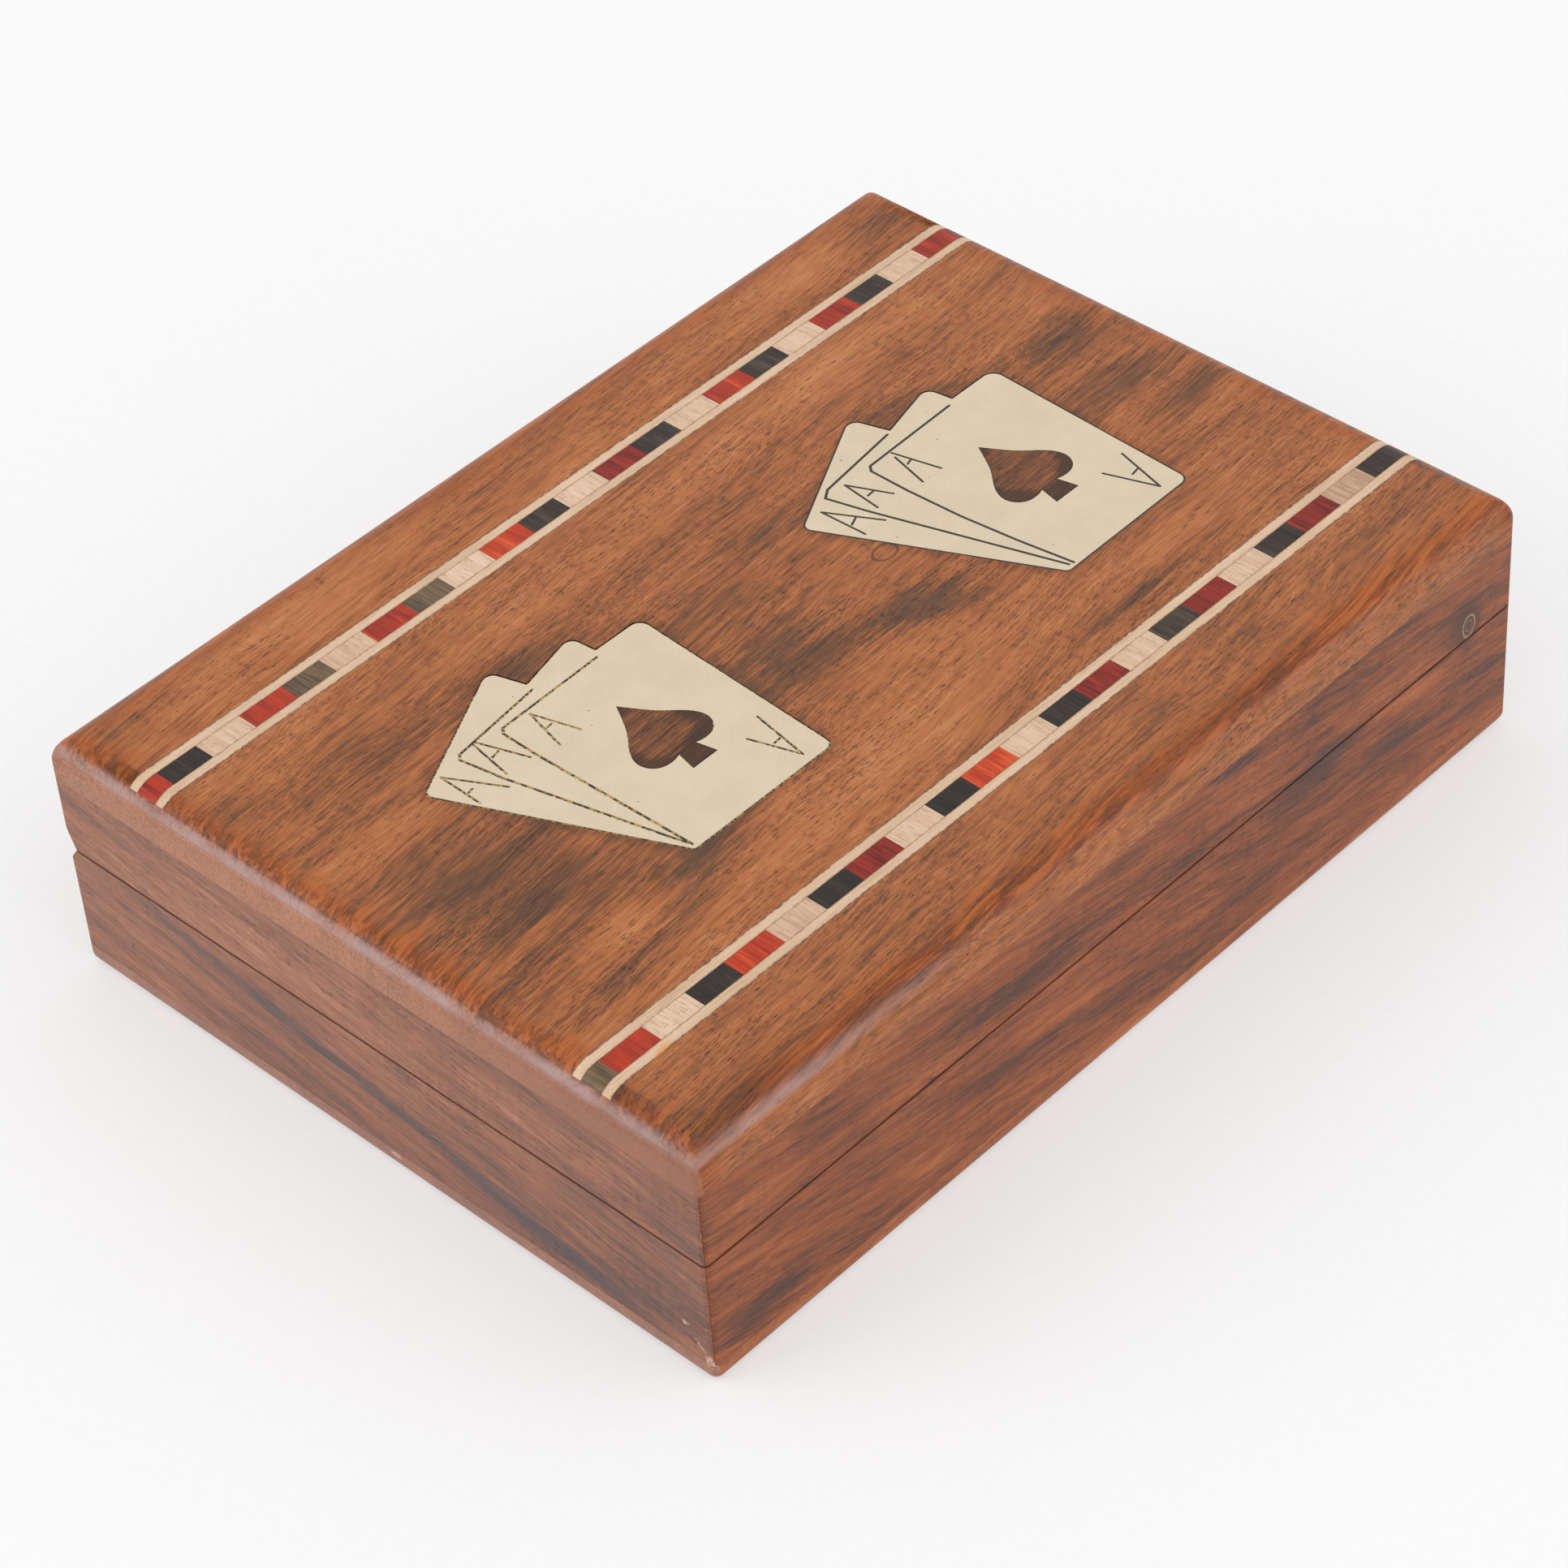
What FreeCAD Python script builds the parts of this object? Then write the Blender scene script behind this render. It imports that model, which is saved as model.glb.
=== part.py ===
import FreeCAD, Part
import math
import os

# A hinged wooden box for two decks of playing cards, all sizes in millimetres.
# +X runs to the right along the front, +Y to the back where the hinges are, +Z up.
# The origin is the middle of the underside.

# Whole box
box_length = 152.0
box_depth = 112.0
box_height = 38.4
parting_height = 20.2        # middle of the gap between the base and the lid
parting_gap = 0.25
wall = 7.5                   # thickness of the mitred walls
floor_thickness = 3.2
panel_thickness = 6.6        # top board of the lid
top_rounding = 3.8           # upper edges of the lid
foot_rounding = 1.6          # lower edges of the base
corner_rounding = 0.8        # upright corners

# Relief planed along the back of the parting line, so that the lid can lean back
lid_relief_depth = 1.9
lid_relief_height = 4.7
base_relief_depth = 1.7
base_relief_height = 2.4

# Divider between the two decks, and the lining
divider_thickness = 4.0
divider_below_rim = 1.0
divider_housing = 1.5        # depth of the grooves that hold its ends
finger_scoop_radius = 12.0
lining_thickness = 1.0
lining_gap = 0.3             # from the lining to the wood around it
slide_clearance = 0.1        # each side of a piece that slides into a groove or mortise

# Striped inlay bands, front and back
band_from_edge = 17.6        # box edge to the middle of a band
band_depth = 1.0
string_width = 1.5           # pale line on each side of a band
block_width = 3.3
red_length = 7.1
black_length = 6.5
white_length = 7.2
back_band_start = 4.5        # length of the first, cut-off block at the left end
front_band_start = 4.2

# Brass card fans
brass_thickness = 1.2
inlay_gap = 0.15             # dark filler around the brass and the spades
engraving_depth = 0.35
engraving_width = 0.4
letter_width = 0.34
spade_width = 12.0
spade_height = 15.4

# Butt hinges
hinge_from_middle = 46.0
hinge_length = 25.0
leaf_thickness = 0.8
leaf_from_inside = 0.7       # wood left between a leaf's edge and the inside of the wall
knuckle_radius = 1.4
knuckle_count = 5
knuckle_gap = 0.15           # between neighbouring knuckles
knuckle_space = 0.25         # from the knuckles to the wood and to the other leaf
pin_radius = 0.6
pin_clearance = 0.05
pin_head_radius = 0.95
pin_head_length = 0.4
screw_from_middle = 7.5
screw_length = 5.5
leaf_beside_screw = 0.375    # flat of the leaf left on each side of a screw's head
screw_head_depth = 0.7
screw_shank_radius = 0.6
screw_tip_length = 1.4
screw_tip_radius = 0.1
screw_slot_width = 0.35
screw_slot_depth = 0.3
screw_clearance = 0.03

# Worked out from the sizes above
half_length = box_length / 2
half_depth = box_depth / 2
base_rim = parting_height - parting_gap / 2
lid_rim = parting_height + parting_gap / 2
panel_underside = box_height - panel_thickness
inside_length = box_length - 2 * wall
inside_depth = box_depth - 2 * wall
well_length = (inside_length - divider_thickness) / 2
band_width = block_width + 2 * string_width
hinge_from_back = (lid_relief_depth + base_relief_depth) / 2
hinge_axis_y = half_depth - hinge_from_back
leaf_width = wall - hinge_from_back - leaf_from_inside       # from the pin's middle
leaf_flat = leaf_width - knuckle_radius - knuckle_space
screw_from_pin = leaf_width - leaf_flat / 2
screw_head_radius = leaf_flat / 2 - leaf_beside_screw
past = 5.0                   # how far a cutting block reaches beyond what it cuts

up = FreeCAD.Vector(0, 0, 1)
along_x = FreeCAD.Vector(1, 0, 0)
along_y = FreeCAD.Vector(0, 1, 0)


def block(x_low, x_high, y_low, y_high, z_low, z_high):
    corner = FreeCAD.Vector(x_low, y_low, z_low)
    return Part.makeBox(x_high - x_low, y_high - y_low, z_high - z_low, corner)


def plan_point(u, v, height=0.0):
    return FreeCAD.Vector(u, v, height)


def side_point(u, v):
    return FreeCAD.Vector(-half_length - past, u, v)


def front_point(u, v):
    return FreeCAD.Vector(u, -half_depth - past, v)


def rounded_face(corners, place):
    # A closed outline of (u, v, radius) corners, each radius an arc tangent to its two sides.
    spans = []
    count = len(corners)
    for index, (u, v, radius) in enumerate(corners):
        tip = place(u, v)
        before = place(*corners[index - 1][:2]) - tip
        after = place(*corners[(index + 1) % count][:2]) - tip
        before.normalize()
        after.normalize()
        half_angle = before.getAngle(after) / 2
        inward = before + after
        if radius == 0 or inward.Length < 1e-6:
            spans.append((tip, None, tip))
            continue
        inward.normalize()
        reach = radius / math.tan(half_angle)
        middle = tip + inward * (radius / math.sin(half_angle) - radius)
        spans.append((tip + before * reach, middle, tip + after * reach))
    edges = []
    for index, (start, middle, end) in enumerate(spans):
        if middle is not None:
            edges.append(Part.Arc(start, middle, end).toShape())
        following = spans[(index + 1) % count][0]
        if (following - end).Length > 1e-6:
            edges.append(Part.LineSegment(end, following).toShape())
    return Part.Face(Part.Wire(edges))


def plan_prism(z_low, z_high):
    corners = []
    for x, y in ((-1, -1), (1, -1), (1, 1), (-1, 1)):
        corners.append((x * half_length, y * half_depth, corner_rounding))
    face = rounded_face(corners, plan_point)
    face.translate(up * z_low)
    return face.extrude(up * (z_high - z_low))


def outer_shape(side_corners, front_corners, z_low, z_high):
    # What the outside of one half leaves of a square block: its side and front sections, crossed.
    side = rounded_face(side_corners, side_point).extrude(along_x * (box_length + 2 * past))
    front = rounded_face(front_corners, front_point).extrude(along_y * (box_depth + 2 * past))
    return plan_prism(z_low, z_high).common(side).common(front)


def base_outside():
    side = [
        (-half_depth, 0, foot_rounding),
        (half_depth, 0, foot_rounding),
        (half_depth, base_rim - base_relief_height, 0),
        (half_depth - base_relief_depth, base_rim, 0),
        (-half_depth, base_rim, 0),
    ]
    front = [
        (-half_length, 0, foot_rounding),
        (half_length, 0, foot_rounding),
        (half_length, base_rim, 0),
        (-half_length, base_rim, 0),
    ]
    return outer_shape(side, front, 0, base_rim)


def lid_outside():
    side = [
        (-half_depth, lid_rim, 0),
        (half_depth - lid_relief_depth, lid_rim, 0),
        (half_depth, lid_rim + lid_relief_height, 0),
        (half_depth, box_height, top_rounding),
        (-half_depth, box_height, top_rounding),
    ]
    front = [
        (-half_length, lid_rim, 0),
        (half_length, lid_rim, 0),
        (half_length, box_height, top_rounding),
        (-half_length, box_height, top_rounding),
    ]
    return outer_shape(side, front, lid_rim, box_height)


def mitred_wall(side, z_low, z_high):
    # One of the four walls, cut at 45 degrees where it meets its neighbours.
    signs = [(-1, -1), (1, -1), (1, 1), (-1, 1)]
    start = ["front", "right", "back", "left"].index(side)
    first, second = signs[start], signs[(start + 1) % 4]
    corners = [
        (first[0] * half_length, first[1] * half_depth, 0),
        (second[0] * half_length, second[1] * half_depth, 0),
        (second[0] * inside_length / 2, second[1] * inside_depth / 2, 0),
        (first[0] * inside_length / 2, first[1] * inside_depth / 2, 0),
    ]
    face = rounded_face(corners, plan_point)
    face.translate(up * z_low)
    return face.extrude(up * (z_high - z_low))


# Hinges. All of a hinge is drawn about its pin's middle at the origin, pin along X, then moved.

def knuckle_spans(own_knuckles):
    # Ends along X of the knuckles that belong to the base leaf (even) or the lid leaf (odd).
    pitch = hinge_length / knuckle_count
    spans = []
    for index in range(knuckle_count):
        if index % 2 == own_knuckles:
            start = -hinge_length / 2 + index * pitch
            spans.append((start + knuckle_gap / 2, start + pitch - knuckle_gap / 2))
    return spans


def rod(radius, x_low, x_high):
    return Part.makeCylinder(radius, x_high - x_low, FreeCAD.Vector(x_low, 0, 0), along_x)


def screw_holes_in_leaf(surface):
    cuts = []
    for side in (-1, 1):
        place = FreeCAD.Vector(side * screw_from_middle, -screw_from_pin, surface)
        cuts.append(Part.makeCylinder(screw_shank_radius + screw_clearance, past, place, up * -1))
        sink = Part.makeCone(
            screw_head_radius + screw_clearance, screw_shank_radius + screw_clearance,
            screw_head_depth, place, up * -1)
        cuts.append(sink)
    return cuts


def hinge_leaf(own_knuckles):
    # The lower leaf of a closed hinge: a plate let into the rim, rolled round the pin at its back.
    surface = -parting_gap / 2
    leaf = block(
        -hinge_length / 2, hinge_length / 2, -leaf_width, 0, surface - leaf_thickness, surface)
    room = knuckle_radius + knuckle_space
    for x_low, x_high in knuckle_spans(1 - own_knuckles):
        leaf = leaf.cut(block(x_low - knuckle_gap, x_high + knuckle_gap, -room, past, -past, past))
    for x_low, x_high in knuckle_spans(own_knuckles):
        leaf = leaf.fuse(rod(knuckle_radius, x_low, x_high))
    leaf = leaf.cut(rod(pin_radius + pin_clearance, -hinge_length, hinge_length))
    for cut in screw_holes_in_leaf(surface):
        leaf = leaf.cut(cut)
    return leaf.removeSplitter()


def hinge_pin():
    pin = rod(pin_radius, -hinge_length / 2 - pin_head_length, hinge_length / 2 + pin_head_length)
    for start in (-hinge_length / 2 - pin_head_length, hinge_length / 2):
        pin = pin.fuse(rod(pin_head_radius, start, start + pin_head_length))
    return pin.removeSplitter()


def hinge_screw(x):
    place = FreeCAD.Vector(x, -screw_from_pin, -parting_gap / 2)
    tip_start = screw_length - screw_tip_length
    shank = Part.makeCylinder(screw_shank_radius, tip_start, place, up * -1)
    head = Part.makeCone(screw_head_radius, screw_shank_radius, screw_head_depth, place, up * -1)
    tip = Part.makeCone(
        screw_shank_radius, screw_tip_radius, screw_tip_length, place - up * tip_start, up * -1)
    slot = block(
        x - past, x + past,
        place.y - screw_slot_width / 2, place.y + screw_slot_width / 2,
        place.z - screw_slot_depth, place.z + past)
    return shank.fuse(head).fuse(tip).cut(slot).removeSplitter()


def hinge_seat():
    # Wood cut away from a rim for one leaf, its knuckles and its screws.
    half = hinge_length / 2
    mortise = block(
        -half - slide_clearance, half + slide_clearance, -leaf_width - slide_clearance, past,
        -parting_gap / 2 - leaf_thickness, past)
    end = half + pin_head_length + knuckle_space
    cuts = [mortise, rod(knuckle_radius + knuckle_space, -end, end)]
    for side in (-1, 1):
        place = FreeCAD.Vector(side * screw_from_middle, -screw_from_pin, 0)
        cuts.append(Part.makeCylinder(
            screw_shank_radius + screw_clearance, parting_gap / 2 + screw_length + slide_clearance,
            place, up * -1))
    return cuts


def at_hinge(shape, side, on_lid):
    # Moves hinge work to the left (-1) or right (1) hinge, turned over for the lid's half.
    moved = shape.copy()
    if on_lid:
        moved = moved.mirror(FreeCAD.Vector(0, 0, 0), up)
    moved.translate(FreeCAD.Vector(side * hinge_from_middle, hinge_axis_y, parting_height))
    return moved


# Base: floor, four walls, divider and two linings

def divider(z_low):
    half_span = inside_depth / 2 + divider_housing - slide_clearance
    board = block(
        -divider_thickness / 2, divider_thickness / 2, -half_span, half_span,
        z_low, base_rim - divider_below_rim)
    scoop = Part.makeCylinder(
        finger_scoop_radius, divider_thickness + 2 * past,
        FreeCAD.Vector(-divider_thickness / 2 - past, 0, base_rim), along_x)
    return board.cut(scoop)


def divider_groove(side):
    # The upright groove in the front (-1) or back (1) wall that the divider slides down.
    inner = side * inside_depth / 2
    deep = side * (inside_depth / 2 + divider_housing)
    shallow = inner - side * past
    half = divider_thickness / 2 + slide_clearance
    return block(-half, half, min(deep, shallow), max(deep, shallow), 0, box_height)


def base_nodes():
    outside = base_outside()
    nodes = {"base_bottom": outside.common(
        block(-half_length, half_length, -half_depth, half_depth, 0, floor_thickness))}
    for side in ("front", "back", "left", "right"):
        piece = mitred_wall(side, floor_thickness, base_rim).common(outside)
        if side == "front":
            piece = piece.cut(divider_groove(-1))
        if side == "back":
            piece = piece.cut(divider_groove(1))
            for hinge_side in (-1, 1):
                for cut in hinge_seat():
                    piece = piece.cut(at_hinge(cut, hinge_side, False))
        nodes["base_" + side + "_wall"] = piece
    nodes["base_divider"] = divider(floor_thickness)
    for name, side in (("left", -1), ("right", 1)):
        middle = side * (divider_thickness + well_length) / 2
        half = well_length / 2 - lining_gap
        nodes[name + "_well_lining"] = block(
            middle - half, middle + half,
            -inside_depth / 2 + lining_gap, inside_depth / 2 - lining_gap,
            floor_thickness, floor_thickness + lining_thickness)
    return nodes


# Striped bands, let into the top board and rounded over with it

def band_strip(y_low, y_high, x_low, x_high):
    return block(x_low, x_high, y_low, y_high, box_height - band_depth, box_height)


def band_blocks(first_length, order, middle):
    # Blocks in three colours in turn from the left end, the first and the last cut short.
    lengths = {"red": red_length, "black": black_length, "white": white_length}
    blocks = {colour: [] for colour in order}
    turn = 0
    start = -half_length
    end = start + first_length
    while start < half_length:
        colour = order[turn % 3]
        blocks[colour].append(band_strip(
            middle - block_width / 2, middle + block_width / 2, start, min(end, half_length)))
        turn += 1
        start = end
        end = start + lengths[order[turn % 3]]
    return blocks


def band_nodes(name, middle, first_length, order, outside):
    nodes = {}
    outward = math.copysign(1, middle)
    for line, side in (("outer", outward), ("inner", -outward)):
        near = middle + side * block_width / 2
        far = near + side * string_width
        strip = band_strip(min(near, far), max(near, far), -half_length, half_length)
        nodes[name + "_band_" + line + "_string"] = strip.common(outside)
    for colour, blocks in band_blocks(first_length, order, middle).items():
        cut_blocks = [piece.common(outside) for piece in blocks]
        nodes[name + "_band_" + colour + "_blocks"] = Part.makeCompound(cut_blocks)
    return nodes


# Brass card fans. Places are in millimetres from the point where the three cards meet.

left_fan = {
    "place": (-38.7, -20.5),
    "outline": [
        (-0.4, -0.2, 0.5), (-14.5, 31.8, 1.1), (6.2, 42.3, 1.3), (7.8, 36.7, 0.3),
        (17.5, 39.0, 1.3), (17.9, 34.7, 0.2), (25.7, 34.6, 1.5), (23.9, -0.2, 1.3),
    ],
    "card_lines": [
        [(7.6, 35.6), (-6.6, 33.9), (-7.3, 33.2), (-6.2, 26.6), (-0.2, 1.0)],
        [(17.1, 33.7), (0.2, 33.3), (-0.5, 32.4), (-0.6, 26.9), (0.0, 0.6)],
    ],
    "letters": [
        [(2.5, 25.6), (4.2, 32.6), (6.2, 25.6)], [(3.4, 29.0), (4.6, 29.2)],
        [(-5.4, 26.9), (-4.3, 33.9)], [(-3.9, 34.3), (-1.4, 26.8)], [(-4.4, 30.4), (-3.0, 30.7)],
        [(-11.2, 25.6), (-11.0, 32.7), (-6.9, 25.0)], [(-11.1, 28.0), (-10.0, 28.2)],
        [(17.9, 8.5), (20.2, 1.3), (21.7, 10.4)], [(19.5, 5.4), (20.6, 5.5)],
    ],
    "spade_tip": (12.0, 25.3),
}
right_fan = {
    "place": (29.1, -21.4),
    "outline": [
        (-0.8, -0.2, 0.9), (-15.8, 31.7, 1.1), (4.5, 42.4, 1.4), (6.2, 36.6, 0.3),
        (15.8, 39.0, 1.4), (16.4, 34.8, 0.2), (24.4, 34.8, 1.7), (23.0, 0.1, 1.3),
    ],
    "card_lines": [
        [(5.4, 36.4), (-8.0, 34.7), (-9.5, 33.7), (-7.9, 27.5), (0.2, 0.6)],
        [(15.1, 34.2), (-0.9, 33.7), (-1.6, 32.9), (-1.6, 26.6), (-1.2, 17.8), (-0.3, 9.0),
         (0.9, 0.4)],
    ],
    "letters": [
        [(1.0, 26.2), (2.5, 32.4)], [(2.9, 33.4), (4.6, 26.2)], [(2.5, 30.2), (3.5, 30.5)],
        [(-6.6, 27.2), (-5.9, 33.6), (-3.2, 27.5)], [(-5.6, 29.8), (-4.4, 29.9)],
        [(-11.6, 24.8), (-11.9, 32.2), (-7.9, 24.7)], [(-11.3, 27.4), (-9.7, 28.1)],
        [(16.9, 9.2), (19.5, 1.7), (21.6, 9.9)], [(19.2, 6.1), (20.4, 6.3)],
    ],
    "spade_tip": (10.9, 25.4),
}


def groove(points, width):
    # A cut along a run of straight strokes, with round ends and corners.
    top = box_height + past
    bottom = box_height - engraving_depth
    cut = None
    for start, end in zip(points, points[1:]):
        run = FreeCAD.Vector(end[0] - start[0], end[1] - start[1], 0)
        stroke = block(0, run.Length, -width / 2, width / 2, bottom, top)
        stroke.rotate(FreeCAD.Vector(0, 0, 0), up, math.degrees(math.atan2(run.y, run.x)))
        stroke.translate(FreeCAD.Vector(start[0], start[1], 0))
        cut = stroke if cut is None else cut.fuse(stroke)
    for x, y in points:
        place = FreeCAD.Vector(x, y, bottom)
        cut = cut.fuse(Part.makeCylinder(width / 2, top - bottom, place))
    return cut


def spade_face(tip, margin):
    # A spade hanging from its tip, drawn smaller all round by the margin.
    tip_x, tip_y = tip
    half = spade_width / 2 - margin
    height = spade_height - 2 * margin
    top = tip_y - margin
    lobe = [(0.0, 0.0), (0.23, 0.16), (0.46, 0.30), (0.94, 0.54), (1.0, 0.66), (0.80, 0.79),
            (0.50, 0.82), (0.25, 0.80)]
    stem = (0.36, 1.0)
    edges = []
    for side in (-1, 1):
        points = [FreeCAD.Vector(tip_x + side * half * u, top - height * v, 0) for u, v in lobe]
        curve = Part.BSplineCurve()
        curve.interpolate(points)
        foot = FreeCAD.Vector(tip_x + side * half * stem[0], top - height * stem[1], 0)
        edges.append(curve.toShape())
        edges.append(Part.LineSegment(points[-1], foot).toShape())
    feet = [tip_x + side * half * stem[0] for side in (-1, 1)]
    low = top - height
    edges.append(Part.LineSegment(
        FreeCAD.Vector(feet[0], low, 0), FreeCAD.Vector(feet[1], low, 0)).toShape())
    return Part.Face(Part.Wire(Part.sortEdges(edges)[0]))


def fan_nodes(fan):
    # The brass, the wooden spade that fills its hole, and the pocket that both lie in.
    floor = box_height - brass_thickness
    plate = rounded_face(fan["outline"], plan_point)
    pocket = plate.makeOffset2D(inlay_gap).extrude(up * (brass_thickness + past))
    brass = plate.extrude(up * brass_thickness)
    brass = brass.cut(spade_face(fan["spade_tip"], 0).extrude(up * brass_thickness))
    spade = spade_face(fan["spade_tip"], inlay_gap).extrude(up * brass_thickness)
    for shape in (pocket, brass, spade):
        shape.translate(up * floor)
    for points in fan["card_lines"]:
        brass = brass.cut(groove(points, engraving_width))
    for points in fan["letters"]:
        brass = brass.cut(groove(points, letter_width))
    for shape in (pocket, brass, spade):
        shape.translate(FreeCAD.Vector(fan["place"][0], fan["place"][1], 0))
    return brass, spade, pocket


# Lid: top board with its inlays, four walls and a lining

def lid_nodes():
    outside = lid_outside()
    nodes = {}
    panel = outside.common(
        block(-half_length, half_length, -half_depth, half_depth, panel_underside, box_height))
    band_middle = half_depth - band_from_edge
    for name, middle, start, order in (
            ("back", band_middle, back_band_start, ("red", "black", "white")),
            ("front", -band_middle, front_band_start, ("black", "red", "white"))):
        channel = block(
            -half_length - past, half_length + past,
            middle - band_width / 2, middle + band_width / 2,
            box_height - band_depth, box_height + past)
        panel = panel.cut(channel)
        nodes.update(band_nodes(name, middle, start, order, outside))
    for name, fan in (("left", left_fan), ("right", right_fan)):
        brass, spade, pocket = fan_nodes(fan)
        panel = panel.cut(pocket)
        nodes[name + "_brass_fan"] = brass
        nodes[name + "_spade_insert"] = spade
    nodes["lid_panel"] = panel
    for side in ("front", "back", "left", "right"):
        piece = mitred_wall(side, lid_rim, panel_underside).common(outside)
        if side == "back":
            for hinge_side in (-1, 1):
                for cut in hinge_seat():
                    piece = piece.cut(at_hinge(cut, hinge_side, True))
        nodes["lid_" + side + "_wall"] = piece
    nodes["lid_lining"] = block(
        -inside_length / 2 + lining_gap, inside_length / 2 - lining_gap,
        -inside_depth / 2 + lining_gap, inside_depth / 2 - lining_gap,
        panel_underside - lining_thickness, panel_underside)
    return nodes


def hinge_nodes():
    nodes = {}
    screws = {"base": [], "lid": []}
    for name, side in (("left", -1), ("right", 1)):
        nodes[name + "_hinge_base_leaf"] = at_hinge(hinge_leaf(0), side, False)
        nodes[name + "_hinge_lid_leaf"] = at_hinge(hinge_leaf(1), side, True)
        nodes[name + "_hinge_pin"] = at_hinge(hinge_pin(), side, False)
        for half, on_lid in (("base", False), ("lid", True)):
            for screw_side in (-1, 1):
                screw = hinge_screw(screw_side * screw_from_middle)
                screws[half].append(at_hinge(screw, side, on_lid))
    for half, pieces in screws.items():
        nodes[half + "_hinge_screws"] = Part.makeCompound(pieces)
    return nodes


os.makedirs("parts", exist_ok=True)
all_nodes = {}
all_nodes.update(base_nodes())
all_nodes.update(lid_nodes())
all_nodes.update(hinge_nodes())
for name, shape in sorted(all_nodes.items()):
    shape.exportStep("parts/" + name + ".step")
    print(name, len(shape.Solids), round(shape.Volume, 2), "valid" if shape.isValid() else "BROKEN")
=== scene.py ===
import math
import bmesh
import bpy
from mathutils import Matrix, Vector


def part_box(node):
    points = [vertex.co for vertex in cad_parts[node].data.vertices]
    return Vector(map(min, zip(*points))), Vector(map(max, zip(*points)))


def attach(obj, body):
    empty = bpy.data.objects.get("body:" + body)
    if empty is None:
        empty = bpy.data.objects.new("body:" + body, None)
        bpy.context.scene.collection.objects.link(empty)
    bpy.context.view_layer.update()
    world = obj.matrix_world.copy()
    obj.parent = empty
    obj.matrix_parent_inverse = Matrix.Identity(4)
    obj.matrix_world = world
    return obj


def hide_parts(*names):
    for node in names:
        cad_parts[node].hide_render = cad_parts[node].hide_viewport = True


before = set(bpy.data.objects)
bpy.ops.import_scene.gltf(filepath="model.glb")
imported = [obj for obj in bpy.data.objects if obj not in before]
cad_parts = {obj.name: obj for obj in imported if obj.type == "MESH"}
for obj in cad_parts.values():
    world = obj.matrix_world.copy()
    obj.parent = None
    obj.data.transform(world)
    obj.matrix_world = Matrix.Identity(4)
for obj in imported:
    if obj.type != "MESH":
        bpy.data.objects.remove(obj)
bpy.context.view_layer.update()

mm = 0.001
hair = 1e-6          # two places nearer than this are the same place
looseHair = 1e-5
clear = 5 * mm       # how far a cutter stands out past the wood
noLimit = 1000       # a reach, in mm, far past the whole box


# Working helpers

def onlySelect(piece):
    bpy.ops.object.select_all(action="DESELECT")
    piece.select_set(True)
    bpy.context.view_layer.objects.active = piece


def editWhole(piece):
    onlySelect(piece)
    bpy.ops.object.mode_set(mode="EDIT")
    bpy.ops.mesh.select_all(action="SELECT")


def settled(name):
    # the new piece, named, with its place in its mesh
    bpy.ops.object.transform_apply(location=True, rotation=True, scale=True)
    bpy.context.active_object.name = name
    return bpy.context.active_object


def addBlock(name, low, high):
    bpy.ops.object.select_all(action="DESELECT")
    middle = [(a + b) / 2 for a, b in zip(low, high)]
    bpy.ops.mesh.primitive_cube_add(size=1, location=middle)
    bpy.context.active_object.scale = [b - a for a, b in zip(low, high)]
    return settled(name)


def addRod(name, start, end, radius, sides):
    # a round bar along X, or upright where its ends are one above the other
    bpy.ops.object.select_all(action="DESELECT")
    run = Vector(end) - Vector(start)
    bpy.ops.mesh.primitive_cylinder_add(
        vertices=sides, radius=radius, depth=run.length, location=(start + end) / 2,
        rotation=(0, math.pi / 2 if run.x else 0, 0))
    return settled(name)


def copyOf(piece, name):
    onlySelect(piece)
    bpy.ops.object.duplicate()
    double = bpy.context.active_object
    double.name = name
    return double


def copyOfNode(node, name):
    # a loose copy of a CAD node, with its triangles merged
    double = bpy.data.objects.new(name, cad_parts[node].data.copy())
    bpy.context.scene.collection.objects.link(double)
    editWhole(double)
    bpy.ops.mesh.remove_doubles(threshold=hair)
    bpy.ops.object.mode_set(mode="OBJECT")
    double.data.materials.clear()
    return double


def pick(piece, kind, wanted):
    # enters edit mode with the faces or edges selected that the test wants
    onlySelect(piece)
    bpy.ops.object.mode_set(mode="EDIT")
    bpy.ops.mesh.select_mode(type=kind)
    bpy.ops.mesh.select_all(action="DESELECT")
    mesh = bmesh.from_edit_mesh(piece.data)
    parts = mesh.faces if kind == "FACE" else mesh.edges
    for part in parts:
        if wanted(part):
            part.select_set(True)
    bmesh.update_edit_mesh(piece.data)


def middleOf(edge):
    return (edge.verts[0].co + edge.verts[1].co) / 2


def along(edge, axis):
    run = edge.verts[1].co - edge.verts[0].co
    return abs(run[axis]) > 0.999 * run.length


def bevelEdges(piece, wanted, width, segments):
    pick(piece, "EDGE", wanted)
    bpy.ops.mesh.bevel(offset=width, segments=segments, affect="EDGES", clamp_overlap=True)
    bpy.ops.object.mode_set(mode="OBJECT")


def cutAway(piece, point, normal):
    # saws the piece through and drops the side that the normal points to
    editWhole(piece)
    bpy.ops.mesh.bisect(
        plane_co=point, plane_no=Vector(normal).normalized(), use_fill=True, clear_outer=True)
    bpy.ops.object.mode_set(mode="OBJECT")


def combine(piece, tool, operation="DIFFERENCE", keep=False):
    onlySelect(piece)
    modifier = piece.modifiers.new("Boolean", "BOOLEAN")
    modifier.operation = operation
    modifier.solver = "EXACT"
    modifier.object = tool
    bpy.ops.object.modifier_apply(modifier=modifier.name)
    if not keep:
        bpy.data.objects.remove(tool)


def join(pieces, name):
    bpy.ops.object.select_all(action="DESELECT")
    for piece in pieces:
        piece.select_set(True)
    bpy.context.view_layer.objects.active = pieces[0]
    bpy.ops.object.join()
    pieces[0].name = name
    return pieces[0]


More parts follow.
